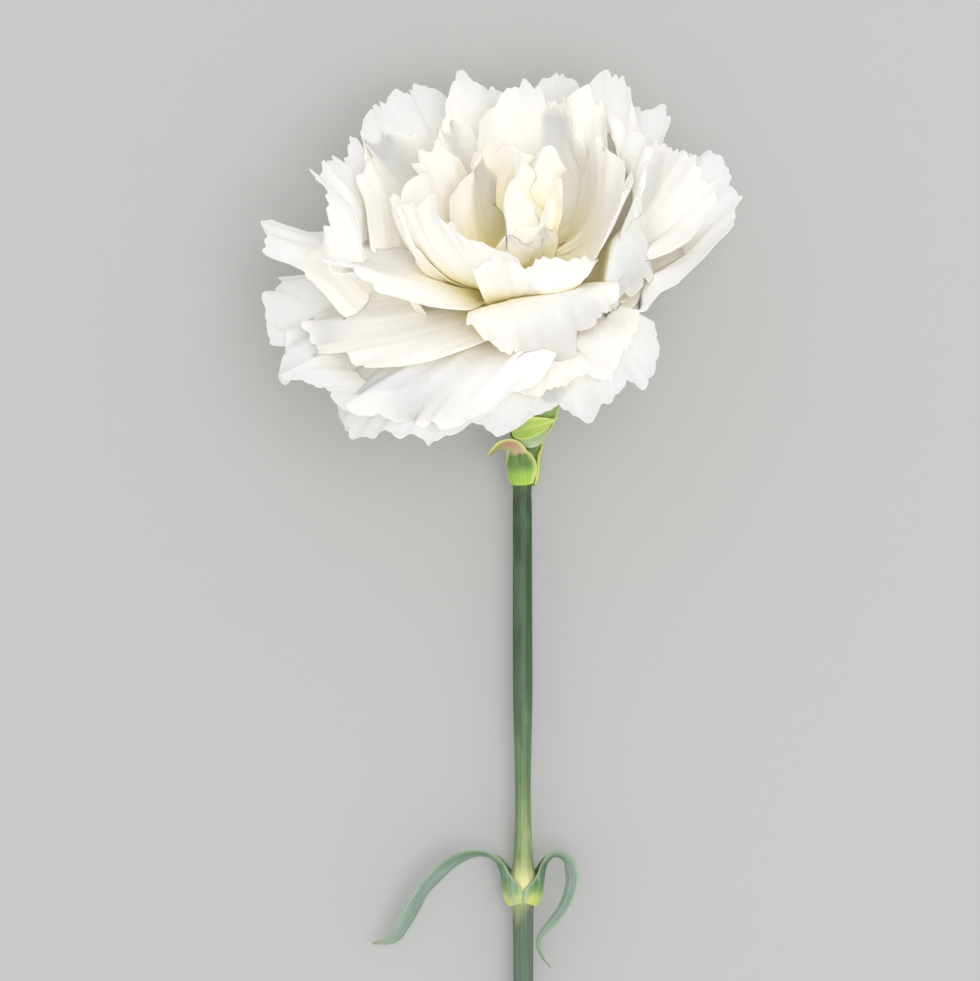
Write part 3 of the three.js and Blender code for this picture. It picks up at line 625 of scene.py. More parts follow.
def claw_grid(petal, whorl, u):
    """Points of the claw, from its foot up to just below the limb."""
    depth = np.linspace(1, 0, CLAW_ROWS, endpoint=False)[:, None]
    azimuth = np.full_like(depth, math.radians(petal["claw_at"]))
    radius = whorl["mouth"] + (whorl["foot"] - whorl["mouth"]) * depth
    height = petal["lift"] + (-CLAW_LENGTH - petal["lift"]) * depth
    width = CLAW_HALF_WIDTH * (1 - CLAW_TAPER * depth)
    return bloom_point(azimuth, radius, height) + around(azimuth) * (u * width)[..., None]


def lay_out(petal, whorl, seed, columns, rows):
    """The grid of a whole petal, with the shares that its mesh keeps."""
    u = np.linspace(-1, 1, columns)
    v = 1 - (1 - np.linspace(0, 1, rows)) ** ROWS_TO_RIM
    limb, q = limb_grid(petal, whorl, u, v, seed)
    return {"grid": np.concatenate([claw_grid(petal, whorl, u), limb]), "u": u, "v": v, "q": q}


farthest_rim = max(math.hypot(p["reach"], p["rise"]) for ring in rings.values() for p in ring)
print("the farthest rim stands", round(farthest_rim), "mm from the throat")

# %% [markdown]
# ## Petals rest against each other
# Forty petals drawn one by one pass through their neighbours, which real ones can't. In a
# bud the inner petals are stiffest and the outer ones give way, so the heart keeps its
# shape and every further petal is pushed outwards until it lies against those inside it. A
# cloth simulation would do the same, but it would lose the folds. Here a coarse net of
# knots is taken from each petal, the knots on the wrong side of an inner petal are moved
# across it, the moves are evened out over the net, and the fine grid follows the net.

# %% Settle the petals
NET_ROWS = 2                    # every second row and every fourth column is a knot
NET_COLUMNS = 4
TREE_ROWS = 2                   # a settled petal is searched on every second row
TREE_COLUMNS = 3                # and every third column
PETAL_GAP = 0.4                 # mm between the middles of two petals
SEARCH_RADIUS = 3.6             # mm, how far each knot looks for an inner petal in one round
FACING = 0.6                    # share of the distance that lies along the normal, less is past the rim
FACING_SLACK = 0.05             # mm
SETTLE_ROUNDS = 7
OWN_SHARE = 0.4                 # of a knot's move that it keeps when the moves are evened out
NEIGHBOUR_SHARE = 0.15          # and of each of its four neighbours' moves that it takes on
LOOSE_ROWS = 6                  # rows above the claw over which a limb comes free


def even_out(moves):
    """Averages each knot's move with its neighbours'."""
    padded = np.pad(moves, ((1, 1), (1, 1), (0, 0)), mode="edge")
    ring = padded[:-2, 1:-1] + padded[2:, 1:-1] + padded[1:-1, :-2] + padded[1:-1, 2:]
    return moves * OWN_SHARE + ring * NEIGHBOUR_SHARE


def push_out(knot, trees):
    """The longest move that brings a knot to the outer side of a petal near it."""
    place = Vector(knot)
    longest = Vector((0, 0, 0))
    for tree in trees:
        nearest, outer_normal, _, distance = tree.find_nearest(place, SEARCH_RADIUS)
        if nearest is None:
            continue
        outside = (place - nearest).dot(outer_normal)
        if outside < PETAL_GAP and abs(outside) > FACING * distance - FACING_SLACK:
            move = outer_normal * (PETAL_GAP - outside)
            if move.length > longest.length:
                longest = move
    return longest


def net_index(count, step):
    """Every step-th index, and always the last one."""
    return np.unique(np.append(np.arange(0, count, step), count - 1))


def settle(grid, settled):
    """A petal's grid clear of the settled petals inside it, and how far it had to give way."""
    rows = net_index(len(grid), NET_ROWS)
    columns = net_index(grid.shape[1], NET_COLUMNS)
    net = grid[np.ix_(rows, columns)]
    low, high = net.min((0, 1)) - SEARCH_RADIUS, net.max((0, 1)) + SEARCH_RADIUS
    near = [tree for tree, (a, b) in settled if (a < high).all() and (b > low).all()]
    loose = smoothstep(rows, CLAW_ROWS, CLAW_ROWS + LOOSE_ROWS)[:, None, None]
    moved = net.copy()
    for _ in range(SETTLE_ROUNDS):
        moves = np.array([[push_out(knot, near) for knot in row] for row in moved])
        moved = moved + even_out(even_out(moves)) * loose
    shift = moved - net
    all_rows, all_columns = np.arange(len(grid)), np.arange(grid.shape[1])
    knots = [(j, k) for j in range(len(columns)) for k in range(3)]
    by_row = np.stack([np.interp(all_rows, rows, shift[:, j, k]) for j, k in knots], -1)
    by_row = by_row.reshape(len(grid), len(columns), 3)
    fine = [[np.interp(all_columns, columns, row[:, k]) for k in range(3)] for row in by_row]
    return grid + np.array(fine).transpose(0, 2, 1), np.linalg.norm(shift, axis=-1).max()


def petal_tree(grid):
    """A search tree of a petal's middle surface, with fewer points, and its box."""
    thin = grid[::TREE_ROWS, ::TREE_COLUMNS]
    flat = thin.reshape(-1, 3)
    tree = BVHTree.FromPolygons(flat.tolist(), grid_quads(*thin.shape[:2]).tolist())
    return tree, (flat.min(0), flat.max(0))


print("each knot looks", SEARCH_RADIUS, "mm around it for inner petals, in", SETTLE_ROUNDS, "rounds")

# %% [markdown]
# The petals are laid out, settled and meshed one by one, from the heart outwards: the higher
# a petal leaves its claw, and the firmer it is, the earlier its turn. Its colour follows its
# real length, so that a short petal keeps more of the cream: painted shade for the deep
# heart, where the short petals stand.

# %% Build the petals
CURVE_ALLOWANCE = 4             # mm that a midline is longer than the straight way to its rim
COLOUR_LENGTH = 44.0            # mm of petal that "along" counts as 1, on short and long ones alike
GRAIN_STEP = 100                # mm between the grains of two petals, so that no two are alike
RIM_START = 0.955               # share of the way to the rim where its painted rim shade begins
THINNING_START = 0.7            # and where the petal begins to thin
petal_mesh = {"columns": 121, "rows": 30}
heart_mesh = {"columns": 81, "rows": 24}


def add_petal(name, petal, whorl, laid, seed):
    u, v = laid["u"], laid["v"]
    below = np.zeros((CLAW_ROWS, len(u)))
    along = np.concatenate([below, laid["q"]])
    rows_v = np.concatenate([below, np.repeat(v[:, None], len(u), 1)])
    edge = smoothstep(rows_v, RIM_START, 1.0)
    length = math.hypot(petal["reach"], petal["rise"]) + CURVE_ALLOWANCE
    across = np.broadcast_to(u * petal["half"] + GRAIN_STEP * seed, along.shape)
    grain = np.stack([across, along * length], -1)
    # short petals and the heart's pale keep more yellow and cream: painted shade of the deep heart
    along = along * length / COLOUR_LENGTH * whorl["pale"]
    thinning = (RIM_THICKNESS - PETAL_THICKNESS) * smoothstep(rows_v, THINNING_START, 1.0)
    thickness = PETAL_THICKNESS + thinning
    add_sheet(name, laid["grid"], thickness, petal_tissue, "petal", along, edge, grain)


bloom_petals = [(f"petal_{ring_name}_{number}", petal, ring_name)
                for ring_name, ring in rings.items() for number, petal in enumerate(ring, 1)]
turns = [-petal["lift"] - petal["firm"] for _, petal, _ in bloom_petals]
from_heart = sorted(range(len(bloom_petals)), key=lambda i: turns[i])
settled = []
for seed in from_heart:
    name, petal, ring_name = bloom_petals[seed]
    mesh_size = heart_mesh if ring_name == "heart" else petal_mesh
    laid = lay_out(petal, whorls[ring_name], seed, **mesh_size)
    laid["grid"], farthest = settle(laid["grid"], settled)
    settled.append(petal_tree(laid["grid"]))
    add_petal(name, petal, whorls[ring_name], laid, seed)
    print(name, "gave way by up to", round(farthest, 1), "mm")

# %% [markdown]
# ## Smooth paths for the green parts
# The stem, its leaves and its bracts each follow a few stations with a cubic spline, which
# passes through every one of them. Stations lie close together at a joint and far apart
# between joints, so each slope is measured per mm: counted per station, it would overshoot
# beside the joint and fold the skin over itself.

# %% Spline through stations
def spline(stations, steps_each):
    """Smoothed values between the rows of stations, and their rate of change."""
    s = np.asarray(stations, float)
    gap = np.linalg.norm(np.diff(s[:, :3], axis=0), axis=1).clip(1e-6)[:, None]
    slope = np.diff(s, axis=0) / gap
    inner = (slope[:-1] * gap[1:] + slope[1:] * gap[:-1]) / (gap[1:] + gap[:-1])
    bend = np.vstack([slope[:1], inner, slope[-1:]])
    share = np.linspace(0, len(s) - 1, (len(s) - 1) * steps_each + 1)
    i = np.minimum(share.astype(int), len(s) - 2)
    t = (share - i)[:, None]
    a, b, lead, trail = s[i], s[i + 1], bend[i] * gap[i], bend[i + 1] * gap[i]
    value = (2 * t**3 - 3 * t**2 + 1) * a + (t**3 - 2 * t**2 + t) * lead
    value = value + (3 * t**2 - 2 * t**3) * b + (t**3 - t**2) * trail
    rate = (6 * t**2 - 6 * t) * (a - b) + (3 * t**2 - 4 * t + 1) * lead + (3 * t**2 - 2 * t) * trail
    return value, rate


def unit(vectors):
    return vectors / np.linalg.norm(vectors, axis=-1, keepdims=True).clip(1e-9)


print("a spline through 3 stations has", len(spline([[0, 0], [1, 0], [2, 1]], 8)[0]), "rows")

# %% [markdown]
# ## Where the stem's joints are
# The bud stalk bends down behind the bloom to the top joint, and from there the stem runs
# almost straight to the cut. Its joints, the nodes a gardener counts, are evenly spaced.

# %% Stem layout
STEM_LENGTH = 207.0             # mm, from the top joint to the cut
NODE_SPACING = 77.0
STEM_TOP_RADIUS = 1.75
STEM_CUT_RADIUS = 2.15
TOP_JOINT_HEIGHT = 7.8          # mm above the table
CALYX_FOOT = -29.0              # mm along the axis, as all heights in the bloom
foot_lean_full = np.array([-1.6, -0.4, 0.0])   # mm, how far the foot of the calyx leans
cut_end = np.array([0.9, cut_y, STEM_CUT_RADIUS - throat[2]])
top_joint = np.array([0.4, cut_y + STEM_LENGTH, TOP_JOINT_HEIGHT - throat[2]])


def stem_at(distance):
    return top_joint + (cut_end - top_joint) * distance / STEM_LENGTH


def stem_radius(distance):
    return STEM_TOP_RADIUS + (STEM_CUT_RADIUS - STEM_TOP_RADIUS) * distance / STEM_LENGTH


def station(distance, swell=0):
    """A place on the stem this far down from the top joint, and the radius there."""
    return [*stem_at(distance), stem_radius(distance) + swell]


# a joint from 6 mm below its middle to 6 mm above: how far down, and how much it swells, in mm
JOINT_SWELL = (
    (6, 0), (3.6, 0.05), (2.2, 0.55), (0.8, 0.95), (-0.6, 0.95), (-2.4, 0.5), (-4.2, 0.05),
    (-6.2, -0.1),
)


def joint_stations(distance):
    return [station(distance + further, swell) for further, swell in JOINT_SWELL]


def foot_lean(height):
    """The foot of the calyx leans back towards the stem."""
    return foot_lean_full * smoothstep(-np.asarray(height, float), 19, 29)[..., None]


def on_axis(height, radius):
    return [*(bloom_up * height + foot_lean(height)), radius]


stem_stations = [
    [*cut_end, STEM_CUT_RADIUS],
    station(STEM_LENGTH - 25),
    *joint_stations(2 * NODE_SPACING),
    station(1.5 * NODE_SPACING),
    *joint_stations(NODE_SPACING),
    station(0.5 * NODE_SPACING),
    station(7),
    station(3.6),
    [*stem_at(2.2), 2.0],
    [*stem_at(0.4), 2.3],
    [*stem_at(-1.4), 2.2],
    [1.2, -24.9, top_joint[2] + 0.9, 1.75],
    on_axis(CALYX_FOOT - 1.2, 1.35),
    on_axis(CALYX_FOOT + 0.4, 1.4),
    on_axis(-26, 2.3),
    on_axis(-22.5, 3.3),
    on_axis(-18.8, 4.1),
]
print("joints at", [round(n * NODE_SPACING) for n in range(3)], "mm down the stem")

# %% [markdown]
# ## Green skins
# Carnation stems and leaves are grass green under a coat of wax. The wax is a bluish white
# film, laid down unevenly and rubbed off by every finger and leaf that passed, so the green
# comes through in streaks along the stem and at the joints. One recipe serves stem, calyx,
# leaves and bracts, because it is one plant: a colour that changes from foot to tip, streaks
# of wax over it, and a second colour at the margin or the joint. The wax also decides the
# gloss: rubbed skin shines a little and waxed skin hardly at all.

# %% Green patterns and colours
FIBRE_SPACING = 0.35            # mm, the real 0.15 would be too fine to show
FIBRE_LENGTH = 14.0
FIBRE_RELIEF = 0.06             # mm
WAX_PATCH = 3.0                 # mm
WAX_STRETCH = 4                 # a patch is this much longer than it is wide
WAX_DULLING = 0.22              # how much rougher the skin is under full wax
WANDER = 0.04                   # share of the length by which one colour runs into the next


def green_patterns(tree, grain):
    """The fibres and the patches of wax, each a pattern from 0 to 1."""
    stretched = add_node(tree, "ShaderNodeMapping", {
        "Vector": grain,
        "Scale": (1 / FIBRE_SPACING, 1 / FIBRE_LENGTH, 1),
    }).outputs["Vector"]
    fibres = add_node(tree, "ShaderNodeTexNoise", {
        "Vector": stretched, "Scale": 1.0, "Detail": 2.0,
    }, noise_dimensions="2D").outputs["Fac"]
    streaks = add_node(tree, "ShaderNodeMapping", {
        "Vector": grain,
        "Scale": (1 / WAX_PATCH, 1 / WAX_STRETCH / WAX_PATCH, 1),
    }).outputs["Vector"]
    patches = add_node(tree, "ShaderNodeTexNoise", {
        "Vector": streaks, "Scale": 1.0, "Detail": 5.0, "Roughness": 0.62,
    }, noise_dimensions="2D").outputs["Fac"]
    return fibres, patches


def colour_along(tree, along, patches, stops):
    """The colours from foot to tip. The patches make each wander a little into the next."""
    wander = add_node(tree, "ShaderNodeMapRange", {
        "Value": patches, "From Min": 0.25, "From Max": 0.75, "To Min": -WANDER, "To Max": WANDER,
    }).outputs["Result"]
    wandering = add_node(tree, "ShaderNodeMath", {0: along, 1: wander}).outputs[0]
    ramp = add_node(tree, "ShaderNodeValToRGB", {"Fac": wandering})
    elements = ramp.color_ramp.elements
    for _ in stops[2:]:
        elements.new(0.5)
    for element, (share, colour) in zip(elements, stops):
        element.position = share
        element.color = linear(colour)
    return ramp.outputs["Color"]


print("fibres are", FIBRE_SPACING, "mm apart, patches of wax", WAX_PATCH, "mm wide")

# %% [markdown]
# In the shader the film of wax lies over the green, the fibres lighten and darken both, and
# the margin or the joint takes its own colour. A little light passes through, so that thin
# bracts and leaf tips don't look solid.

# %% Green material
def make_green_skin(name, stops, margin, margin_share, wax, wax_share, least_rough):
    """stops are pairs of a share along the piece and its colour, from foot to tip."""
    material, tree = new_material(name)
    along, edge, grain = read_growth(tree)
    fibres, patches = green_patterns(tree, grain)
    film = add_node(tree, "ShaderNodeMapRange", {
        "Value": patches, "From Min": 0.38, "From Max": 0.66, "To Max": wax_share,
    }, interpolation_type="SMOOTHSTEP").outputs["Result"]
    waxed = add_node(tree, "ShaderNodeMix", {
        0: film, MIX_A: colour_along(tree, along, patches, stops), MIX_B: linear(wax),
    }, data_type="RGBA").outputs[MIX_OUT]
    fibre_tone = add_node(tree, "ShaderNodeMapRange", {
        "Value": fibres, "From Min": 0.3, "From Max": 0.7, "To Min": 0.84, "To Max": 1.1,
    }).outputs["Result"]
    fibred = add_node(tree, "ShaderNodeMix", {
        0: 1.0, MIX_A: waxed, MIX_B: fibre_tone,
    }, data_type="RGBA", blend_type="MULTIPLY").outputs[MIX_OUT]
    rim = add_node(tree, "ShaderNodeMath", {0: edge, 1: margin_share}, operation="MULTIPLY").outputs[0]
    colour = add_node(tree, "ShaderNodeMix", {
        0: rim, MIX_A: fibred, MIX_B: linear(margin),
    }, data_type="RGBA").outputs[MIX_OUT]
    roughness = add_node(tree, "ShaderNodeMapRange", {
        "Value": patches, "From Min": 0.3, "From Max": 0.7,
        "To Min": least_rough, "To Max": least_rough + WAX_DULLING,
    }).outputs["Result"]
    bump = add_node(tree, "ShaderNodeBump", {
        "Height": fibres, "Strength": 0.5, "Distance": FIBRE_RELIEF * MM,
    }).outputs["Normal"]
    surface = add_node(tree, "ShaderNodeBsdfPrincipled", {
        "Base Color": colour,
        "Roughness": roughness,
        "IOR": 1.45,
        "Subsurface Weight": 0.25,
        "Subsurface Radius": (0.6, 1.0, 0.3),
        "Subsurface Scale": 0.6 * MM,
        "Normal": bump,
    })
    finish_with(tree, surface)
    return material


print("one recipe makes every green skin")

# %% [markdown]
# The skins differ in age and in the light they had. Old tissue is darker and bluer, young
# tissue yellower, and what never saw the sun is nearly white.

# %% The six green skins
# stem: dark near the bloom, painted shade of the bloom over it, then paler and bluer further down, fresh
# green just above a joint
stem_skin = make_green_skin(
    "carnation stem, green under rubbed wax",
    [(0.0, "#8fae55"), (0.14, "#6f8a44"), (0.2, "#2f4625"), (0.3, "#35512d"), (0.39, "#4c6447"),
     (0.478, "#738b5a"), (0.51, "#98a76d"), (0.565, "#556854"), (1.0, "#5b6f52")],
    margin="#e9e5a8", margin_share=0.9, wax="#7f9a84", wax_share=0.15, least_rough=0.4,
)
# leaf: yellow-green where it clasps the joint, silvery along the blade, drying at the tip
leaf_skin = make_green_skin(
    "carnation leaf, grey with wax",
    [(0.0, "#cfd368"), (0.05, "#c3cc6c"), (0.085, "#7c9f49"), (0.125, "#4a7436"), (0.2, "#4d7244"),
     (0.32, "#627c64"), (0.5, "#80958a"), (0.93, "#82968a"), (1.0, "#8f8560")],
    margin="#b4c89a", margin_share=0.35, wax="#a3b4a6", wax_share=0.5, least_rough=0.45,
)
# fresh bract: young and thin, so light and yellowish all through
bract_skin = make_green_skin(
    "carnation bract, fresh yellow-green",
    [(0.0, "#a9c457"), (0.25, "#9dbd50"), (0.6, "#b9d05e"), (1.0, "#cddb77")],
    margin="#dfe68c", margin_share=0.8, wax="#c9dc86", wax_share=0.3, least_rough=0.42,
)
# old bract: dark where it leaves the stalk and papery brown where it folds back
old_bract_skin = make_green_skin(
    "carnation bract, green drying to brown at the fold",
    [(0.0, "#a5c74b"), (0.16, "#8fb83f"), (0.28, "#3e6a27"), (0.42, "#345d2a"), (0.49, "#c5a58a"),
     (0.64, "#b18b70"), (0.82, "#a59a5b"), (1.0, "#8c8a4a")],
    margin="#dbe48d", margin_share=0.85, wax="#b4cf7a", wax_share=0.3, least_rough=0.42,
)
# calyx: pale at its shaded foot, clear green above, paler again at the rim of the teeth
calyx_skin = make_green_skin(
    "carnation calyx, ribbed green tube",
    [(0.0, "#cfdcb6"), (0.09, "#a9c286"), (0.2, "#8dad5a"), (0.5, "#9aba66"), (0.86, "#a8c26c"),
     (1.0, "#c6cf94")],
    margin="#e4e6c6", margin_share=0.8, wax="#b7c9a3", wax_share=0.4, least_rough=0.42,
)
# pistil: never in the light, so nearly white at its tips, and moist, so a little glossier
pistil_skin = make_green_skin(
    "carnation pistil, moist pale green",
    [(0.0, "#b6c97c"), (0.55, "#d5dca4"), (1.0, "#f2efdd")],
    margin="#f4f1e4", margin_share=0.5, wax="#e3e7c4", wax_share=0.2, least_rough=0.3,
)
green_skins = (stem_skin, leaf_skin, bract_skin, old_bract_skin, calyx_skin, pistil_skin)
print([skin.name for skin in green_skins])

# %% [markdown]
# ## The stem
# One tube follows all the stations. Its joints swell and have a narrow waist just above,
# where the stalk snaps most easily. The skin has faint ribs, so the tube is not perfectly
# round. The cut face is fresh: a pale pith ringed by darker fibres, dished a little because
# the soft middle dries first.

# %% Build the stem
STEM_SPOKES = 56
STEM_STEPS = 14                 # rows between two stations
STEM_RIBS = 11
RIB_DEPTH = 0.035               # mm
CUT_RINGS = 6
CUT_DISH = 0.35                 # mm that the pith has sunk
CUT_PALENESS = 0.9              # in the very middle of the cut
PALE_BAND = 2.8                 # mm, how far the paler skin at a joint reaches
PALE_BAND_RISE = 1.0            # mm that its middle lies above the joint
STEM_TOP_END = -30              # mm down from the top joint, so above it, inside the calyx
# distance down the stem and the share of the skin's colours that it shows
# from 5 to 43 mm down, the stem shows its darkest colours: painted shade of the bloom above it
STEM_COLOURING = (
    (-20, 0), (-4, 0.14), (5, 0.2), (17, 0.3), (43, 0.39), (65, 0.478), (73, 0.51),
    (81.5, 0.565), (STEM_LENGTH, 1),
)


def tube_frame(rate):
    """For each row, two directions across the tube: one level, one upward."""
    forward = unit(rate[:, :3])
    side = unit(np.array([1.0, 0, 0]) - forward * forward[:, :1])
    return side, np.cross(side, forward)


def tube_points(stations, spokes, steps_each, ribs=0, rib_depth=0.0):
    """Rings along a spline, with the spline's own rows and the angles round a ring."""
    value, rate = spline(stations, steps_each)
    side, up = tube_frame(rate)
    angle = np.linspace(0, 2 * math.pi, spokes, endpoint=False)
    ring = side[:, None] * np.cos(angle)[:, None] + up[:, None] * np.sin(angle)[:, None]
    radius = value[:, 3:4] - rib_depth * (1 - np.cos(ribs * angle))
    return value[:, None, :3] + ring * radius[..., None], value, angle


def close_tube(points):
    """Adds a middle point over each end of a tube, and the fans of faces to it."""
    rings, spokes = points.shape[:2]
    ends = np.stack([points[0].mean(0), points[-1].mean(0)])
    flat = np.concatenate([points.reshape(-1, 3), ends])
    faces = tube_faces(rings, spokes)[:, ::-1].tolist()
    first, last = rings * spokes, rings * spokes + 1
    top = (rings - 1) * spokes
    for k in range(spokes):
        following = (k + 1) % spokes
        faces.append([first, k, following])
        faces.append([last, top + following, top + k])
    return flat, faces


def stem_distance(value):
    """Distance down the straight stem from the top joint, less than 0 above it."""
    return (top_joint[1] - value[:, 1]) / (top_joint[1] - cut_end[1]) * STEM_LENGTH


def cut_face(middle, rim):
    """Rings from the middle of the cut to the first ring of the stem, dished."""
    share = np.linspace(0.0, 1, CUT_RINGS, endpoint=False)[:, None, None]
    dish = CUT_DISH * (1 - share[..., 0] ** 2)
    face = middle + (rim - middle) * share.clip(0.02)
    return face + np.array([0, 1.0, 0]) * dish[..., None]


def each_spoke(values):
    """One value for each ring, given to every point of it."""
    return np.repeat(values[:, None], STEM_SPOKES, 1).ravel()


def stem_paleness(distance, rows):
    """1 in the pith of the cut and at the two lower joints, 0 elsewhere."""
    from_joint = [distance - n * NODE_SPACING + PALE_BAND_RISE for n in (1, 2)]
    joints = sum(np.exp(-((away / PALE_BAND) ** 2)) for away in from_joint)
    pith = np.concatenate([1 - np.linspace(0, 1, CUT_RINGS) ** 2, np.zeros(rows)])
    return (joints + pith).clip(0, 1)


def build_stem():
    points, value, angle = tube_points(stem_stations, STEM_SPOKES, STEM_STEPS, STEM_RIBS, RIB_DEPTH)
    flat, faces = close_tube(np.concatenate([cut_face(value[0, :3], points[0]), points]))
    distance = np.concatenate([np.full(CUT_RINGS, STEM_LENGTH), stem_distance(value)])
    along = each_spoke(np.interp(distance, *zip(*STEM_COLOURING)))
    paler = each_spoke(stem_paleness(distance, len(value)))
    grain = np.stack(np.broadcast_arrays(angle * STEM_CUT_RADIUS, distance[:, None]), -1)
    ends = [[0, STEM_LENGTH], [0, STEM_TOP_END]]
    return add_piece(
        "stem", flat, faces, stem_skin, "stem", along=np.append(along, [1, 0]),
        edge=np.append(paler, [CUT_PALENESS, 0]), grain=np.concatenate([grain.reshape(-1, 2), ends]),
    )


stem = build_stem()
print("the stem has", len(stem.data.polygons), "faces")

# %% [markdown]
# ## The calyx and its scales
# Five sepals fused into a ribbed tube with five pointed teeth: the cup that holds the claws
# together. It is a wall with an inside, so its grid runs up the outside, over the teeth and
# down the inside again, and closes on itself at the foot. Four short scales, the epicalyx,
# are pressed against the foot of it. The one in front has slipped and lies across it.

# %% Build the calyx
CALYX_MOUTH = -3.0              # mm along the axis, between two teeth
CALYX_WALL = 0.6                # mm at the foot
CALYX_THINNING = 0.55           # share of the wall that is gone at the tips of the teeth
CALYX_TEETH = 5
TOOTH_LENGTH = 2.2
CALYX_RIBS = 40
CALYX_RIB_HEIGHT = 0.07
CALYX_SPOKES = 160
CALYX_ROWS = 40
CALYX_GRAIN_RADIUS = 6          # mm, one radius for the grain all the way up
CALYX_FLARE = 0.3               # mm that the teeth lean out for each mm of height
# height and outer radius in mm
calyx_profile = np.array([[-29, 2.3], [-27, 3.3], [-22, 4.6], [-16, 5.6], [-10, 6.3], [-3, 7.3]])


def calyx_radius(height):
    radius = np.interp(height, calyx_profile[:, 0], calyx_profile[:, 1])
    return radius + np.maximum(height - CALYX_MOUTH, 0) * CALYX_FLARE


def ring_of_teeth(azimuth):
    """Height of the calyx's rim at each azimuth."""
    tooth = np.abs((CALYX_TEETH * azimuth / (2 * math.pi)) % 1 - 0.5) * 2
    return CALYX_MOUTH + 0.2 + TOOTH_LENGTH * tooth**1.2


def build_calyx():
    azimuth = np.linspace(0, 2 * math.pi, CALYX_SPOKES, endpoint=False)
    up = np.linspace(0, 1, CALYX_ROWS)[:, None]
    height = CALYX_FOOT + (ring_of_teeth(azimuth) - CALYX_FOOT) * up
    rib_fade = np.sin(math.pi * up.clip(0.02, 0.97)) ** 0.5
    ribs = CALYX_RIB_HEIGHT * np.cos(CALYX_RIBS * azimuth) * rib_fade
    wall = CALYX_WALL * (1 - CALYX_THINNING * up**6)
    lean = foot_lean(height)
    outside = bloom_point(azimuth, calyx_radius(height) + ribs, height) + lean
    inside = bloom_point(azimuth, calyx_radius(height) - wall, height) + lean
    points = np.concatenate([outside, inside[::-1]])
    rows = len(points)
    low = np.arange(CALYX_SPOKES)
    high = (rows - 1) * CALYX_SPOKES + low
    foot_faces = np.stack([high, np.roll(high, -1), np.roll(low, -1), low], -1)
    faces = np.concatenate([tube_faces(rows, CALYX_SPOKES), foot_faces])
    share = np.concatenate([up, up[::-1]]) * np.ones(CALYX_SPOKES)
    margin = smoothstep(share, 0.93, 1.0)
    heights = np.concatenate([height, height[::-1]])
    grain = np.stack([np.broadcast_to(azimuth * CALYX_GRAIN_RADIUS, share.shape), heights], -1)
    return add_piece("calyx", points, faces, calyx_skin, "calyx", share, margin, grain)


calyx = build_calyx()
print("the calyx stands", round(CALYX_MOUTH - CALYX_FOOT), "mm high, in", len(calyx.data.polygons), "faces")

# %% [markdown]
# Each scale is a small sheet wrapped round the calyx, half a millimetre off it, widest
# above its foot and with a faint ridge along its middle. The three at the back stand
# upright, and the slipped one leans over so far that it nearly lies on its side.

# %% Build the epicalyx
SCALE_ROWS = 36
SCALE_COLUMNS = 25
SCALE_OFF = 0.5                 # mm from the calyx to the middle of a scale
SCALE_THICKNESS = 0.34
SCALE_THINNING = 0.16           # mm less at the margin
SCALE_RIDGE = 0.1
RIDGE_WIDTH = 0.12              # of the half width
SCALE_BOW = 1.4                 # mm that a scale on its side arches up
# azimuth and height of its foot, its lean from upright in degrees, length and half width in mm
back_scale = (-28.6, 0, 9.1, 1.9)
epicalyx = [(-60, -24.7, 80, 10.3, 2.3), *[(at, *back_scale) for at in (115, 182, 249)]]


def build_scale(name, at, foot, lean, length, widest):
    """A scale of the epicalyx, pressed against the calyx and ending in a short point."""
    up = np.linspace(0, 1, SCALE_ROWS)[:, None]
    u = np.linspace(-1, 1, SCALE_COLUMNS)
    rise, tip_over = math.cos(math.radians(lean)), math.sin(math.radians(lean))
    half = 0.25 + widest * np.sin(math.pi * np.minimum(up + 0.12, 1)) ** 0.8
    bow = SCALE_BOW * tip_over * np.sin(math.pi * up)
    height = foot + rise * length * up - tip_over * half * u + bow
    ridge = SCALE_RIDGE * np.exp(-((u / RIDGE_WIDTH) ** 2))
    radius = calyx_radius(height) + SCALE_OFF + 0.12 * up**3 + ridge
    azimuth = math.radians(at) + (tip_over * length * up + rise * half * u) / radius
    grid = bloom_point(azimuth, radius, height) + foot_lean(height)
    along = np.repeat(up, SCALE_COLUMNS, 1)
    edge = smoothstep(np.abs(u), 0.7, 1.0) * np.ones_like(up)
    edge = np.maximum(edge, smoothstep(along, 0.9, 1.0))
    grain = np.stack([u * half, along * length], -1)
    thickness = SCALE_THICKNESS - SCALE_THINNING * edge
    add_sheet(name, grid, thickness, bract_skin, "bract", along, edge, grain)


for number, scale in enumerate(epicalyx, 1):
    build_scale(f"epicalyx_scale_{number}", *scale)
print(len(epicalyx), "scales clasp its foot")

# %% [markdown]
# ## The pistil
# Deep in the tube stands the ovary with its two styles. Nobody sees it unless the bloom is
# pulled apart, so it is three plain tubes in one mesh, with the finish of the living thing.

# %% Build the pistil
PISTIL_SPOKES = 24
PISTIL_STEPS = 8                # rows between two stations
PISTIL_FOOT = -18               # mm along the axis
PISTIL_HEIGHT = 16.5
ovary = ((-18, 0.55), (-16.5, 0.85), (-13, 0.85), (-10.5, 0.5))         # height, radius
style = ((0.12, -12, 0.22), (0.35, -7, 0.22), (0.8, -1.5, 0.16))        # out, height, radius


def build_pistil():
    tubes = [[on_axis(height, radius) for height, radius in ovary]]
    for azimuth in (0, math.pi):
        tubes.append([[*bloom_point(azimuth, out, height), radius] for out, height, radius in style])
    points, faces = np.zeros((0, 3)), []
    for stations in tubes:
        flat, tube = close_tube(tube_points(stations, PISTIL_SPOKES, PISTIL_STEPS)[0])
        faces += [[corner + len(points) for corner in face] for face in tube]
        points = np.concatenate([points, flat])
    along = ((points @ bloom_up - PISTIL_FOOT) / PISTIL_HEIGHT).clip(0, 1)
    tip = smoothstep(along, 0.9, 1.0)
    return add_piece("pistil", points, faces, pistil_skin, "pistil", along, tip, points[:, :2])


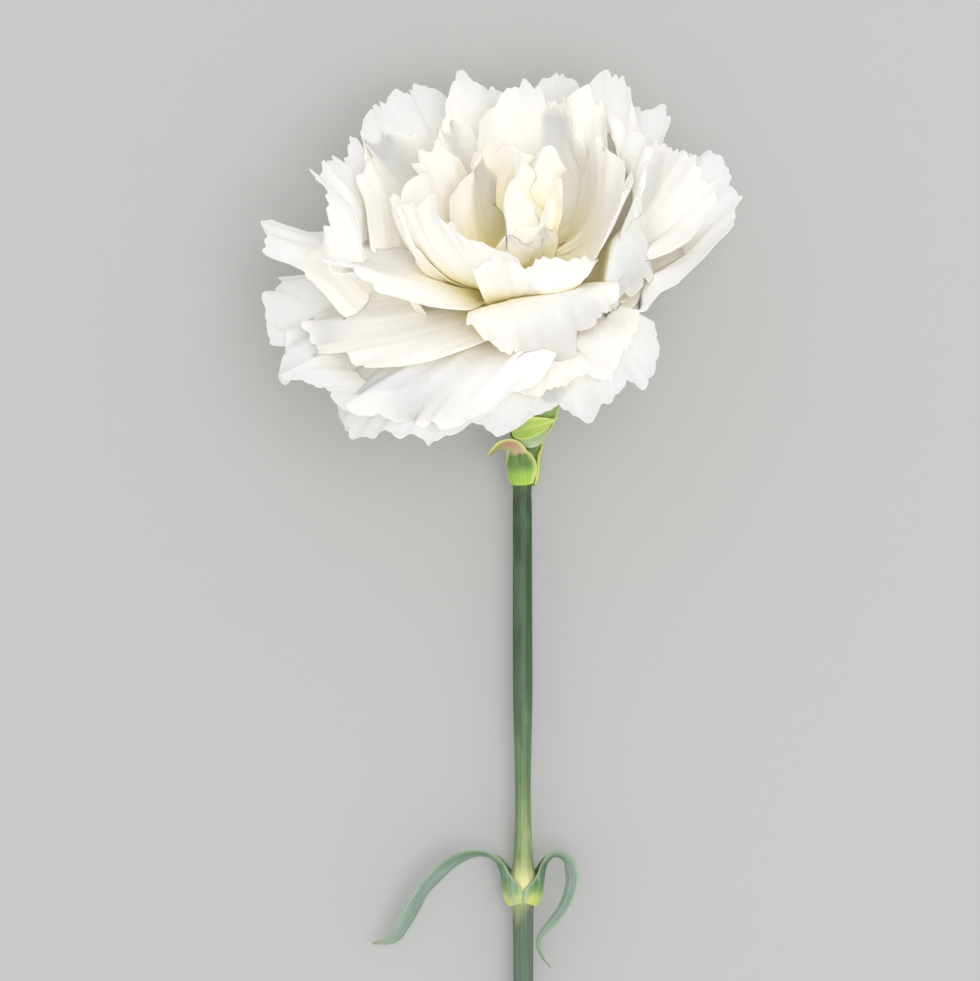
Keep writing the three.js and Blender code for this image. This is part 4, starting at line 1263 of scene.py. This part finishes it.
pistil = build_pistil()
print("the pistil has", len(pistil.data.vertices), "points")

# %% [markdown]
# ## Leaves and bracts
# A carnation leaf is a narrow strap. Its foot clasps half the joint, then it arches out and
# hangs, channelled along the middle with a keel under it. The stations give, from the
# joint's middle, a place in mm, half the width, how far the sides cup in, and how the strap
# rolls, both in degrees. The feet of a pair are alike, and mirrored to either hand. Bracts
# are the same thing in little: the last pair, under the bloom, one of them dried and turned
# back.

# %% Leaf stations
LEFT = -1
RIGHT = 1


def clasp(hand, foot):
    """The stations that hug the joint, on the side of this hand."""
    return [(hand * across, *rest) for across, *rest in foot]


leaf_foot = ((2.7, -3.1, 0, 4.2, 89, 0), (3.15, -2.0, 0, 4.9, 89, 0), (3.45, 0.3, 0, 5.0, 84, 0))
lower_foot = ((2.8, -3.1, 0, 3.4, 70, 0), (3.25, -2.0, 0, 3.85, 68, 0), (3.6, 0.3, 0, 4.1, 66, 0))
bract_stations = {
    "bract_left": [
        (-0.51, -3.4, 2.19, 2.89, 72, 72), (-0.63, -2.0, 2.57, 3.39, 72, 72),
        (-0.71, 0.5, 2.81, 3.5, 68, 72), (-0.9, 2.1, 3.1, 2.3, 42, 72), (-1.3, 3.2, 4.4, 1.6, 26, 68),
        (-2.4, 3.8, 5.1, 1.35, 24, 50), (-3.9, 3.6, 5.0, 1.3, 20, 35), (-5.2, 2.8, 4.7, 0.9, 15, 25),
        (-6.3, 1.8, 4.2, 0.15, 10, 20),
    ],
    "bract_right": [
        (2.43, -3.4, -0.56, 1.77, 44, 14), (2.82, -2.0, -0.65, 2.07, 44, 14),
        (3.06, 0.5, -0.71, 2.06, 40, 14), (3.2, 2.6, -1.4, 1.6, 30, 20), (3.4, 4.4, -2.4, 1.3, 25, 25),
        (3.8, 6.2, -3.0, 1.0, 20, 25), (4.2, 8.0, -3.4, 0.2, 10, 25),
    ],
}
leaf_stations = {
    "leaf_left": [
        *clasp(LEFT, leaf_foot),
        (-3.75, 2.8, 0.1, 3.2, 58, 0), (-4.6, 4.9, 0.6, 2.1, 38, 5), (-7.0, 6.4, 1.6, 1.7, 28, 15),
        (-9.6, 6.3, 2.6, 1.6, 24, 30), (-12.8, 5.0, 3.3, 1.6, 22, 40), (-15.8, 2.6, 3.5, 1.7, 20, 48),
        (-18.6, -0.9, 3.1, 1.7, 20, 50), (-21.2, -5.4, 2.1, 1.6, 18, 52), (-23.7, -9.0, 0.9, 1.2, 15, 55),
        (-27.5, -10.1, -0.5, 0.2, 8, 60),
    ],
    "leaf_right": [
        *clasp(RIGHT, leaf_foot),
        (3.7, 2.8, 0.3, 3.0, 56, 0), (4.2, 4.9, 0.9, 2.0, 38, -5), (5.8, 6.4, 2.0, 1.7, 28, -15),
        (7.8, 5.5, 3.2, 1.7, 22, -30), (8.7, 3.1, 4.2, 1.6, 20, -40), (8.3, 0.3, 4.6, 1.4, 18, -45),
        (7.1, -2.8, 4.4, 1.2, 16, -45), (5.2, -5.4, 3.9, 1.0, 14, -40), (3.5, -7.6, 3.3, 0.8, 12, -35),
        (2.7, -9.8, 2.9, 0.7, 10, -30), (3.5, -12.1, 2.2, 0.6, 8, -30), (5.0, -14.1, 1.5, 0.2, 8, -30),
    ],
    "lower_leaf_left": [
        *clasp(LEFT, lower_foot),
        (-3.9, 3.0, 0.2, 3.2, 55, 0), (-5.2, 6.5, 0.9, 2.4, 38, 5), (-9.0, 13.0, 2.2, 2.2, 28, 15),
        (-15.5, 18.0, 3.5, 2.1, 22, 30), (-26, 17.0, 3.0, 1.9, 20, 45), (-34, 9.0, 1.0, 1.5, 16, 55),
        (-38, -2.0, -1.2, 0.3, 8, 60),
    ],
    "lower_leaf_right": [
        *clasp(RIGHT, lower_foot),
        (3.9, 3.0, 0.3, 3.0, 55, 0), (5.1, 7.0, 1.2, 2.3, 38, -5), (8.0, 14.5, 2.6, 2.2, 28, -15),
        (14.0, 21.0, 4.5, 2.1, 22, -30), (24, 23.0, 5.0, 1.9, 20, -45), (34, 17.0, 3.0, 1.5, 16, -55),
        (40, 7.0, -0.8, 0.3, 8, -60),
    ],
}
print(len(leaf_stations), "leaves and", len(bract_stations), "bracts")

# %% [markdown]
# The strap is a grid again: rows along the spline, columns across a circular arc, which
# makes the channel. A slow wave along the margins is a small offset to that arc, and the
# keel is a narrow thickening of the middle.

# %% Build the leaves and bracts
STRAP_COLUMNS = 29
STRAP_STEPS = 16                # rows between two stations
LEAF_THICKNESS = 0.5            # mm
MARGIN_THINNING = 0.5           # share of it that is gone at the margins
TIP_THINNING = 0.6              # and at the tip
FOOT_THICKNESS = 0.3            # and the share that is left where the strap springs from the joint
FOOT_LENGTH = 1.6               # mm over which it comes to its full thickness
KEEL_HEIGHT = 0.22              # mm
KEEL_WIDTH = 0.09               # of the half width
SWAYS = ((0.16, 17, 1), (0.1, 31, 2))   # size, radians along the strap, power of u across it
FIRST_SEED = 900
STRAP_GRAIN_STEP = 20           # mm between the grains of two straps
margin_start = {"bract": 0.5, "leaf": 0.78}   # share of the half width where the pale margin begins


def sway_of(share, u, chance):
    """The slow waves along a strap's two margins."""
    return sum(size * np.sin(share * along + chance.rand() * 6) * u**power for size, along, power in SWAYS)


def strap_grid(stations, hand, seed):
    value, rate = spline(stations, STRAP_STEPS)
    forward = unit(rate[:, :3])
    inner = unit(np.cross(forward, [0.0, 0.0, 1.0])) * -hand
    side = unit(np.cross(inner, forward))
    roll = np.radians(value[:, 5])[:, None]
    inner, side = (
        inner * np.cos(roll) + np.cross(forward, inner) * np.sin(roll),
        side * np.cos(roll) + np.cross(forward, side) * np.sin(roll),
    )
    half = value[:, 3].clip(0.12)[:, None]
    cup = np.radians(value[:, 4].clip(1))[:, None]
    u = np.linspace(-1, 1, STRAP_COLUMNS)
    walked = np.linalg.norm(np.diff(value[:, :3], axis=0), axis=1).cumsum()
    share = np.append(0, walked / walked[-1])[:, None]
    sway = sway_of(share, u, np.random.RandomState(FIRST_SEED + seed))
    off = (1 - np.cos(cup * u)) * half / cup + sway * smoothstep(share, 0.15, 0.4) * half / 2
    across = np.sin(cup * u) * half / cup
    grid = value[:, None, :3] + side[:, None] * across[..., None] + inner[:, None] * off[..., None]
    return grid, u, share, half


def add_strap(name, stations, joint, hand, finish, slot, seed):
    grid, u, share, half = strap_grid(stations, hand, seed)
    length = np.linalg.norm(np.diff(grid[:, STRAP_COLUMNS // 2], axis=0), axis=1).sum()
    along = share * np.ones_like(u)
    edge = smoothstep(np.abs(u), margin_start[slot], 1.0) * np.ones_like(share)
    blade = LEAF_THICKNESS * (1 - MARGIN_THINNING * np.abs(u) ** 3)
    keel = KEEL_HEIGHT * np.exp(-((u / KEEL_WIDTH) ** 2))
    to_tip = 1 - TIP_THINNING * smoothstep(share, 0.8, 1.0)
    from_foot = FOOT_THICKNESS + (1 - FOOT_THICKNESS) * smoothstep(along * length, 0, FOOT_LENGTH)
    grain = np.stack([u * half + STRAP_GRAIN_STEP * seed, along * length], -1)
    thickness = (blade + keel) * to_tip * from_foot
    add_sheet(name, grid + joint, thickness, finish, slot, along, edge, grain)


bract_finish = {"bract_left": old_bract_skin, "bract_right": bract_skin}
straps = [(name, s, 0, bract_finish[name], "bract") for name, s in bract_stations.items()]
for name, stations in leaf_stations.items():
    straps.append((name, stations, 2 if name.startswith("lower") else 1, leaf_skin, "leaf"))
for number, (name, stations, node, finish, slot) in enumerate(straps):
    hand = LEFT if name.endswith("left") else RIGHT
    add_strap(name, stations, stem_at(node * NODE_SPACING), hand, finish, slot, number)
print(len(straps), "straps clasp the joints")

# %% [markdown]
# ## The table
# A plain pale surface, matt like primed card, so that nothing competes with the flower. It
# is wide enough to fill the view from low angles too.

# %% Floor
FLOOR_SIZE = 6.0                # m
CARD_TOOTH = 0.4                # mm, the grain of the primer
CARD_RELIEF = 0.05              # mm


def make_primed_card():
    material, tree = new_material("primed card, matt pale grey")
    place = add_node(tree, "ShaderNodeTexCoord").outputs["Object"]
    tooth = add_node(tree, "ShaderNodeTexNoise", {
        "Vector": place, "Scale": 1 / (CARD_TOOTH * MM), "Detail": 2.0,
    }).outputs["Fac"]
    bump = add_node(tree, "ShaderNodeBump", {
        "Height": tooth, "Strength": 0.1, "Distance": CARD_RELIEF * MM,
    }).outputs["Normal"]
    surface = add_node(tree, "ShaderNodeBsdfPrincipled", {
        "Base Color": linear("#b6b6b5"), "Roughness": 0.9, "Specular IOR Level": 0.1, "Normal": bump,
    })
    finish_with(tree, surface)
    return material


floor_mesh = bpy.data.meshes.new("table_top")
reach = FLOOR_SIZE / 2
corners = [(-reach, -reach, 0), (reach, -reach, 0), (reach, reach, 0), (-reach, reach, 0)]
floor_mesh.from_pydata(corners, [], [(0, 1, 2, 3)])
floor_mesh.materials.append(make_primed_card())
floor = bpy.data.objects.new("table_top", floor_mesh)
bpy.context.scene.collection.objects.link(floor)
print("the table is", FLOOR_SIZE, "m wide")

# %% [markdown]
# ## Light
# White petals show their form only in soft light that still has a direction. A bright even
# sky fills the folds, and one large softbox from the right and front gives each petal a
# light side and a shaded one.

# %% Sky and softbox
SKY_STRENGTH = 0.92
SOFTBOX_WATTS = 3.4
SOFTBOX_SIZE = 0.5              # m
LIGHT_BOUNCES = 12              # white petals pass light on many times before it fades
softbox_place = Vector((0.14, -0.07, 0.88))   # m from the throat

sky = bpy.data.worlds.new("studio_sky")
sky.use_nodes = True
background = sky.node_tree.nodes["Background"]
background.inputs["Color"].default_value = (1.0, 1.0, 1.0, 1.0)
background.inputs["Strength"].default_value = SKY_STRENGTH
bpy.context.scene.world = sky

softbox_light = bpy.data.lights.new("softbox", "AREA")
softbox_light.energy = SOFTBOX_WATTS
softbox_light.size = SOFTBOX_SIZE
softbox = bpy.data.objects.new("softbox", softbox_light)
bpy.context.scene.collection.objects.link(softbox)
bloom_centre = Vector(throat * MM)
softbox.location = bloom_centre + softbox_place
softbox.rotation_euler = softbox_place.to_track_quat("Z", "Y").to_euler()
bpy.context.scene.view_settings.view_transform = "Standard"
bpy.context.scene.cycles.max_bounces = LIGHT_BOUNCES
bpy.context.scene.cycles.diffuse_bounces = LIGHT_BOUNCES
print("softbox", round(softbox_place.length, 2), "m from the bloom")

# %% [markdown]
# ## Camera
# The view is straight down, from a little below the bloom so that the stem has room, with a
# short telephoto lens that keeps the petals' proportions natural.

# %% Camera
CAMERA_RISE = 476.0             # mm above the throat
CAMERA_ACROSS = -5.43
CAMERA_DOWN_STEM = 32.1
LENS_LENGTH = 100               # mm
SENSOR_WIDTH = 36               # mm
camera_data = bpy.data.cameras.new("studio_camera")
camera_data.lens = LENS_LENGTH
camera_data.sensor_width = SENSOR_WIDTH
camera = bpy.data.objects.new("studio_camera", camera_data)
bpy.context.scene.collection.objects.link(camera)
camera.location = Vector((throat + [CAMERA_ACROSS, -CAMERA_DOWN_STEM, CAMERA_RISE]) * MM)
bpy.context.scene.camera = camera
print("camera at", [round(c, 3) for c in camera.location], "m")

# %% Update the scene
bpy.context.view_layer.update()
